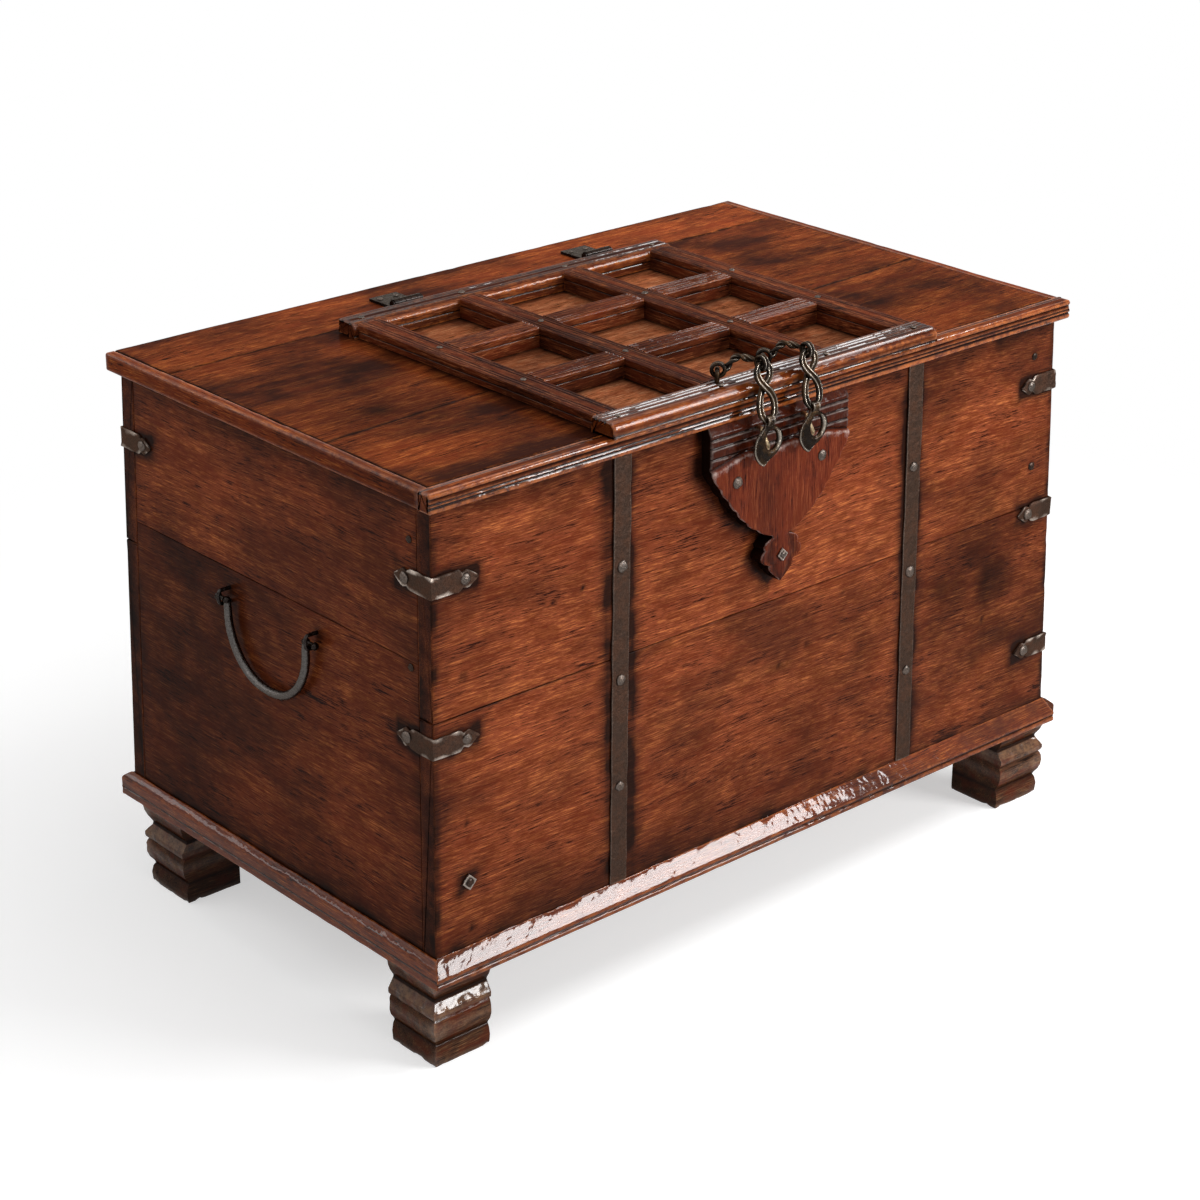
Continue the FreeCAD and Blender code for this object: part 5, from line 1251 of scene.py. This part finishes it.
class DOWRY_OT_chains(bpy.types.Operator):
    """Rail staples, arched links and waisted links of both chains"""
    bl_idname = "dowry.chains"
    bl_label = "Chains"

    def execute(self, context):
        sizes, _ = settings()
        wire, ring = sizes.wire / MM, sizes.ring / MM
        play = ring - 2 * wire - 0.3
        way = np.array([-0.71, 0.70, 0.0])
        way /= np.linalg.norm(way)
        across = np.array([-way[1], way[0], 0.0])
        staples = Shape()
        for number, (side, x) in enumerate(chain_sides()):
            low, high = cad("chain_link_lower_" + side)
            end = np.array([x, cad("lid_rail_front")[0][1] - 2.6, high[2] - wire])
            start = end + way * 42.0 - [0, 0, 7.6]
            shape = Shape()
            self.ring(shape, start, way, across, ring, wire, number)
            self.ring(shape, end, np.array([0, 1.0, 0]), np.array([1.0, 0, 0]), ring, wire, number + 2)
            a, b = start - way * ring, end + [0, ring, 0]
            path = [a - [0, 0, 1]]
            path += [a + (b - a) * share + [0, 0, up]
                     for share, up in ((0.10, 3.0), (0.26, 8.6), (0.46, 9.6), (0.68, 6.0))]
            bulk = 1.0 + 0.22 * np.sin(np.linspace(0, math.pi, 48))
            tube(shape, spline(path + [b + [0, 1.0, 1.0]], 48), across, wire * bulk, doubled=True, seed=number,
                 rub_and_highlight=0.6, twist=9.4, sides=24)
            shape.piece("chain_link_upper_" + side, "chain", "chain_iron", "chain_upper_" + side)
            # a twisted link: the strand from the upper left to the lower right crosses over the other
            half = [(0.0, 0.0), (5.6, 0.025), (8.6, 0.12), (7.6, 0.24), (3.6, 0.36), (0.0, 0.43), (-3.8, 0.50),
                    (-8.4, 0.62), (-9.8, 0.75), (-8.6, 0.88), (-4.9, 0.982), (-2.6, 1.0)]
            loop = half + [(-p, q) for p, q in reversed(half[1:])]
            aside, share = spline(loop, 132, closed=True).T
            over = np.where(np.arange(132) < 66, 2.6, -2.9) * ridge(share, 0.43, 0.13)
            top, bottom = np.array([x, end[1] - play, end[2]]), np.array([x, low[1] + wire, low[2] + wire])
            path = top + (bottom - top) * share[:, None] + np.column_stack([aside, over, np.zeros(132)])
            bulk = np.interp(share, (0.0, 0.05, 0.13, 0.90, 0.97, 1.0), (0.72, 0.8, 1.0, 1.0, 0.72, 0.62))
            ahead = np.roll(path, -1, 0) - np.roll(path, 1, 0)
            shape = Shape()
            tube(shape, path, np.cross(ahead, (0, 1.0, 0)), wire * 1.22 * bulk, closed=True, doubled=True,
                 seed=number + 5, rub_and_highlight=0.8, sides=24)
            shape.piece("chain_link_lower_" + side, "chain", "chain_iron", "chain_lower_" + side)
            crown = start + way * play
            hoop = [(5.2, LID_TOP - crown[2] - 1.0), (5.2, -5.0), (4.6, -1.6), (2.6, 0.0)]
            hoop = [(-p, q) for p, q in hoop] + hoop[::-1]
            tube(staples, spline([crown + across * p + [0, 0, q] for p, q in hoop], 40), way, wire * 0.98,
                 seed=number + 8, rub_and_highlight=0.5)
        staples.piece("lid_staples", "chain", "chain_iron", "lid")
        return {"FINISHED"}

    def ring(self, shape, centre, way, normal, radius, wire, seed):
        """A closed ring of doubled wire, in the upright plane that holds way."""
        angle = np.linspace(0, 2 * math.pi, 44, endpoint=False)[:, None]
        path = centre + radius * (np.cos(angle) * way + np.sin(angle) * np.array([0, 0, 1.0]))
        tube(shape, path, normal, wire * 1.08, closed=True, doubled=True, seed=seed, rub_and_highlight=0.7, sides=24)


def staple_path(back, out, low, high, bend):
    """A staple's two legs and its front, as distances from the wood and heights."""
    inward = math.copysign(bend, back - out)
    half = [(back, high), (out + inward, high), (out + 0.3 * inward, high - 0.3 * bend), (out, high - bend)]
    return half + [(a, low + high - b) for a, b in reversed(half)]


class DOWRY_OT_hasps(bpy.types.Operator):
    """Leaf-shaped hasps and the lock staples behind them"""
    bl_idname = "dowry.hasps"
    bl_label = "Hasps and lock staples"

    def execute(self, context):
        for number, (side, x) in enumerate(chain_sides()):
            y, z = cad("chain_link_lower_" + side)[0][1:] + 2.6
            shape = Shape()
            self.leaf(shape, x, y, z, number)
            self.eye(shape, x, y, z)
            shape.piece("hasp_" + side, "chain", "chain_iron", "hasp_" + side)
        shape = Shape()
        for number, part in enumerate(loose_parts("lock_staples")):
            low, high = part.min(0), part.max(0)
            z0, z1, out, back = low[2] + 2.5, high[2] - 2.5, low[1] + 2.5, high[1] + 1.0
            y, z = np.array(staple_path(back, out, z0, z1, 5)).T
            x = part[:, 0].mean() - 0.5 * (z - (z0 + z1) / 2) * np.clip((back - y) / (back - out), 0, 1) ** 2
            tube(shape, spline(np.stack([x, y, z], 1), 44), (1, 0, 0), 2.4, seed=number + 20, rub_and_highlight=1.0)
        shape.piece("lock_staples", "staple", "chain_iron")
        return {"FINISHED"}

    def leaf(self, shape, x, y, z, seed):
        """The plate as a band round its slot: a thick rolled rim at the right, drawn out to a tip at the left."""
        slot_x, slot_z = x + 3.6, z - 21.0
        outer = spline([(x + a, z - b) for a, b in (
            (-4.6, 2.0), (-5.4, 5.4), (-9.0, 10.0), (-14.6, 15.5), (-18.2, 22.0), (-19.0, 28.5), (-17.0, 35.5),
            (-12.5, 42.0), (-7.0, 46.2), (-4.0, 45.4), (0.5, 41.5), (7.5, 38.0), (13.8, 33.0), (18.0, 26.5),
            (18.8, 19.5), (15.5, 12.5), (10.0, 8.2), (6.0, 5.0), (4.6, 2.0))], 220)
        arm = outer - [slot_x, slot_z]
        angle = np.arctan2(arm[:, 1], arm[:, 0])
        order = np.argsort(angle)
        turns = np.linspace(-math.pi, math.pi, 84, endpoint=False)
        reach = np.interp(turns, angle[order], np.linalg.norm(arm, axis=1)[order], period=2 * math.pi)
        a, b = 8.0, 10.8
        slot = a * b / np.hypot(b * np.cos(turns), a * np.sin(turns))
        bead = [(q, 2.7 * math.sqrt(max(1 - (2 * q - 1) ** 2, 0.04))) for q in (0, 0.05, 0.15, 0.32, 0.5, 0.68, 0.85)]
        flat = [(0.0, 1.35), (0.25, 1.2), (0.6, 1.2), (0.85, 1.6), (0.95, 1.5), (1.0, 0.9)]
        points, rub_and_highlight = [], []
        for turn, near, far in zip(turns, slot, reach):
            band = far - near
            wide = min(9.0, 0.90 * band)
            # the rub mark paints a highlight down the middle of the rolled rim, brightest on its right, and a highlight
            # line along the plate's outer edge
            across = [(wide * q, h, 0.2 + 0.8 * max(math.cos(turn), 0) * math.sin(math.pi * q)) for q, h in bead]
            across += [(wide + (band - wide) * q, h, 0.75 if q > 0.8 else 0.1) for q, h in flat]
            for flip in (-1, 1):
                for gap, high, bright_and_highlight in across[::flip]:
                    bruise = 0.12 * lattice(np.array([[turn * 5, gap * 0.3 + seed, flip]]), seed)[0]
                    points.append((slot_x + (near + gap) * math.cos(turn), y + flip * high * (1 - abs(bruise)),
                                   slot_z + (near + gap) * math.sin(turn)))
                    rub_and_highlight.append(bright_and_highlight * 0.8)
        shape.take(points, ladder(len(turns), 2 * (len(bead) + len(flat)), True), rub_and_highlight=rub_and_highlight)

    def eye(self, shape, x, y, z):
        """The plate's top, rolled round the link's lowest run."""
        bore, wall, half = 2.95, 2.3, 4.6
        ring = [(0, -1), (0, 1), (0.25, 1.0), (0.75, 1.0), (1.0, 0.86), (1.0, 0), (1.0, -0.86), (0.75, -1.0),
                (0.25, -1.0)]
        turns = np.linspace(0, 2 * math.pi, 40, endpoint=False)
        points = [(x + side * half, y + (bore + wall * share) * math.cos(t), z + (bore + wall * share) * math.sin(t))
                  for t in turns for share, side in ring]
        rub_and_highlight = np.tile([0.1, 0.1, 0.2, 0.3, 0.5, 0.2, 0.5, 0.3, 0.2], len(turns))
        shape.take(points, ladder(len(turns), len(ring), True), rub_and_highlight=rub_and_highlight)


class DOWRY_OT_handles(bpy.types.Operator):
    """Bail handles and their staples"""
    bl_idname = "dowry.handles"
    bl_label = "Handles"

    def execute(self, context):
        sizes, _ = settings()
        rod = sizes.bail / MM
        # the turned ends, as reach past the bail's leg and radius
        reach = np.array([-3.6, -2.4, 0, 2.6, 4.0, 5.2, 9, 12.4, 13.2, 14.4, 16.4, 17.8, 18.3])
        size = np.array([2.2, 3.4, 4.3, 3.9, 2.9, 2.5, 2.4, 2.5, 3.4, 4.1, 3.9, 2.4, 0.6])
        for number, (side, _) in enumerate(SIDES):
            low, high = cad("handle_" + side)
            x, middle, _ = (low + high) / 2
            w, top = (high[1] - low[1]) / 2 - 18.4, high[2] - rod
            half = [(w, 0.5), (w - 0.6, -8), (w - 3, -30), (w * 0.76, -54), (w * 0.42, -71)]
            arc = [(-a, b) for a, b in half] + [(0, low[2] + rod - top)] + half[::-1]
            share = np.abs(np.linspace(-1, 1, 90))
            shape = Shape()
            # the bail's rub mark brings out bright metal all along it: wear, and painted highlight
            tube(shape, spline([(x, middle + a, top + b) for a, b in arc], 90), (1, 0, 0),
                 rod * (1.0 - 0.24 * share ** 3), seed=number, rub_and_highlight=0.8, sides=20)
            for s in (-1, 1):
                tube(shape, [(x, middle + s * (w + r), top) for r in reach], (1, 0, 0), size, seed=number + 3, rub_and_highlight=0.4,
                     sides=18)
            shape.piece("handle_" + side, "handle", "handle_iron", "handle_" + side)
        shape = Shape()
        for number, part in enumerate(loose_parts("handle_staples")):
            sign, y = np.sign(part[:, 0].mean()), (part[:, 1].min() + part[:, 1].max()) / 2
            far = np.abs(part[:, 0])
            path = staple_path(far.min() - 1.5, far.max() - 2.1, part[:, 2].min() + 2.1, part[:, 2].max() - 2.1, 4)
            tube(shape, spline([(sign * a, y, b) for a, b in path], 40), (0, 1, 0), 2.05, seed=number + 30, rub_and_highlight=0.6)
        shape.piece("handle_staples", "handle", "nail_iron")
        return {"FINISHED"}


class DOWRY_OT_hinges(bpy.types.Operator):
    """Iron finish of the hinge leaves and pins"""
    bl_idname = "dowry.hinges"
    bl_label = "Hinges"

    def execute(self, context):
        for node in ("hinge_leaves_fixed", "hinge_leaves_moving", "hinge_pins"):
            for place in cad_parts[node].material_slots:
                place.material = finish_of("handle")
        return {"FINISHED"}


class DOWRY_OT_stage(bpy.types.Operator):
    """Pale floor, soft studio lights and the camera"""
    bl_idname = "dowry.stage"
    bl_label = "Stage"

    def execute(self, context):
        scene = bpy.context.scene
        scene.view_settings.view_transform = "Standard"
        self.camera(scene)
        self.floor()
        self.lights()
        self.surroundings(scene)
        return {"FINISHED"}

    def toward(self, turn, lift):
        """The direction to a place from the chest, by degrees round from its front and up."""
        a, e = math.radians(turn), math.radians(lift)
        return Vector((math.sin(a) * math.cos(e), -math.cos(a) * math.cos(e), math.sin(e)))

    def camera(self, scene):
        back, roll = self.toward(-41.56, 23.92), math.radians(0.15)
        right = Vector((0, 0, 1)).cross(back).normalized()
        up = back.cross(right)
        right, up = right * math.cos(roll) + up * math.sin(roll), up * math.cos(roll) - right * math.sin(roll)
        data = bpy.data.cameras.new("camera")
        data.sensor_width, data.lens = 36.0, 84.3
        data.shift_x, data.shift_y = -0.0008, 0.0186
        scene.camera = linked("camera", data)
        place = Vector((0, CASE_Y * MM, 0.2569)) + back * 3.0685
        scene.camera.matrix_world = Matrix.Translation(place) @ Matrix((right, up, back)).transposed().to_4x4()

    def floor(self):
        _, colours = settings()
        mesh = bpy.data.meshes.new("studio_floor")
        mesh.from_pydata([(6.0 * a, 6.0 * b, -0.0004) for a, b in ((-1, -1), (1, -1), (1, 1), (-1, 1))], [],
                         [(0, 1, 2, 3)])
        material, t = new_material("white_paper_floor")
        seen = self.background_rays(t)
        paper = add(t, "ShaderNodeBsdfDiffuse", {"Color": (0.66, 0.66, 0.66, 1.0)})
        lift = maths(t, "MULTIPLY", seen, colours.floor_lift)
        glow = add(t, "ShaderNodeEmission", {"Color": (1, 1, 1, 1), "Strength": lift})
        lit = add(t, "ShaderNodeAddShader", {0: paper, 1: glow})
        # the paper runs out into the white background some way from the chest
        place = add(t, "ShaderNodeTexCoord").outputs["Object"]
        away = add(t, "ShaderNodeVectorMath", {0: place}, operation="LENGTH")
        far = add(t, "ShaderNodeMapRange", {"Value": away, "From Min": 0.75, "From Max": 1.45},
                  interpolation_type="SMOOTHSTEP")
        white = add(t, "ShaderNodeEmission", {"Color": (1, 1, 1, 1), "Strength": 1.0})
        share = maths(t, "MULTIPLY", far, seen)
        both = add(t, "ShaderNodeMixShader", {0: share, 1: lit, 2: white})
        add(t, "ShaderNodeOutputMaterial", {"Surface": both})
        mesh.materials.append(material)
        linked("studio_floor", mesh)

    def background_rays(self, t):
        """1 for the rays that see the white background: the camera's and those of polished and clear things."""
        path = add(t, "ShaderNodeLightPath")
        shiny = maths(t, "MAXIMUM", path.outputs["Is Glossy Ray"], path.outputs["Is Transmission Ray"])
        return maths(t, "MAXIMUM", path.outputs["Is Camera Ray"], shiny)

    def lights(self):
        for name, turn, lift, gap, wide, tall, power in (
                ("low_strip", 31, 16, 2.8, 0.95, 0.48, 50), ("high_strip", 56, 44, 2.75, 1.2, 0.30, 34),
                ("front_fill", -20, 26, 3.4, 2.2, 1.6, 10), ("side_fill", -105, 40, 3.2, 1.8, 1.8, 14),
                ("rear_strip", -138, 20, 3.0, 1.2, 0.3, 5), ("overhead", 30, 74, 2.6, 1.8, 1.8, 30),
                ("rear_fill", -150, 42, 3.0, 2.2, 1.6, 10)):
            data = bpy.data.lights.new(name, "AREA")
            data.shape, data.size, data.size_y, data.energy = "RECTANGLE", wide, tall, power
            out, made = self.toward(turn, lift), linked(name, data)
            made.location = Vector((0, 0, 0.35)) + out * gap
            made.rotation_euler = out.to_track_quat("Z", "Y").to_euler()

    def surroundings(self, scene):
        world = bpy.data.worlds.new("studio")
        world.use_nodes = True
        t = world.node_tree
        t.nodes.clear()
        level = add(t, "ShaderNodeMapRange", {"Value": self.background_rays(t), "To Min": 0.20, "To Max": 1.0})
        soft = add(t, "ShaderNodeBackground", {"Color": (1, 1, 1, 1), "Strength": level})
        add(t, "ShaderNodeOutputWorld", {"Surface": soft})
        scene.world = world


OPERATORS = (DOWRY_OT_stage, DOWRY_OT_walls, DOWRY_OT_inside, DOWRY_OT_plinth, DOWRY_OT_feet, DOWRY_OT_top,
             DOWRY_OT_lid, DOWRY_OT_straps, DOWRY_OT_lock_plate, DOWRY_OT_chains, DOWRY_OT_hasps, DOWRY_OT_handles,
             DOWRY_OT_hinges, DOWRY_OT_nails)


class DOWRY_PT_chest(bpy.types.Panel):
    """The chest's sizes, finish and pieces"""
    bl_idname = "DOWRY_PT_chest"
    bl_label = "Dowry Chest"
    bl_space_type = "VIEW_3D"
    bl_region_type = "UI"
    bl_category = "Dowry Chest"

    def draw(self, context):
        layout = self.layout
        for group in (context.scene.dowry_chest_sizes, context.scene.dowry_chest_finish):
            for key in group.__annotations__:
                layout.prop(group, key)
        for kind in OPERATORS:
            layout.operator(kind.bl_idname)


CLASSES = (ChestSizes, ChestFinish) + OPERATORS + (DOWRY_PT_chest,)


def register():
    for kind in CLASSES:
        bpy.utils.register_class(kind)
    bpy.types.Scene.dowry_chest_sizes = PointerProperty(type=ChestSizes)
    bpy.types.Scene.dowry_chest_finish = PointerProperty(type=ChestFinish)


def unregister():
    del bpy.types.Scene.dowry_chest_sizes
    del bpy.types.Scene.dowry_chest_finish
    for kind in reversed(CLASSES):
        bpy.utils.unregister_class(kind)


def main():
    register()
    for kind in OPERATORS:
        group, name = kind.bl_idname.split(".")
        getattr(getattr(bpy.ops, group), name)()


if __name__ == "__main__":
    main()
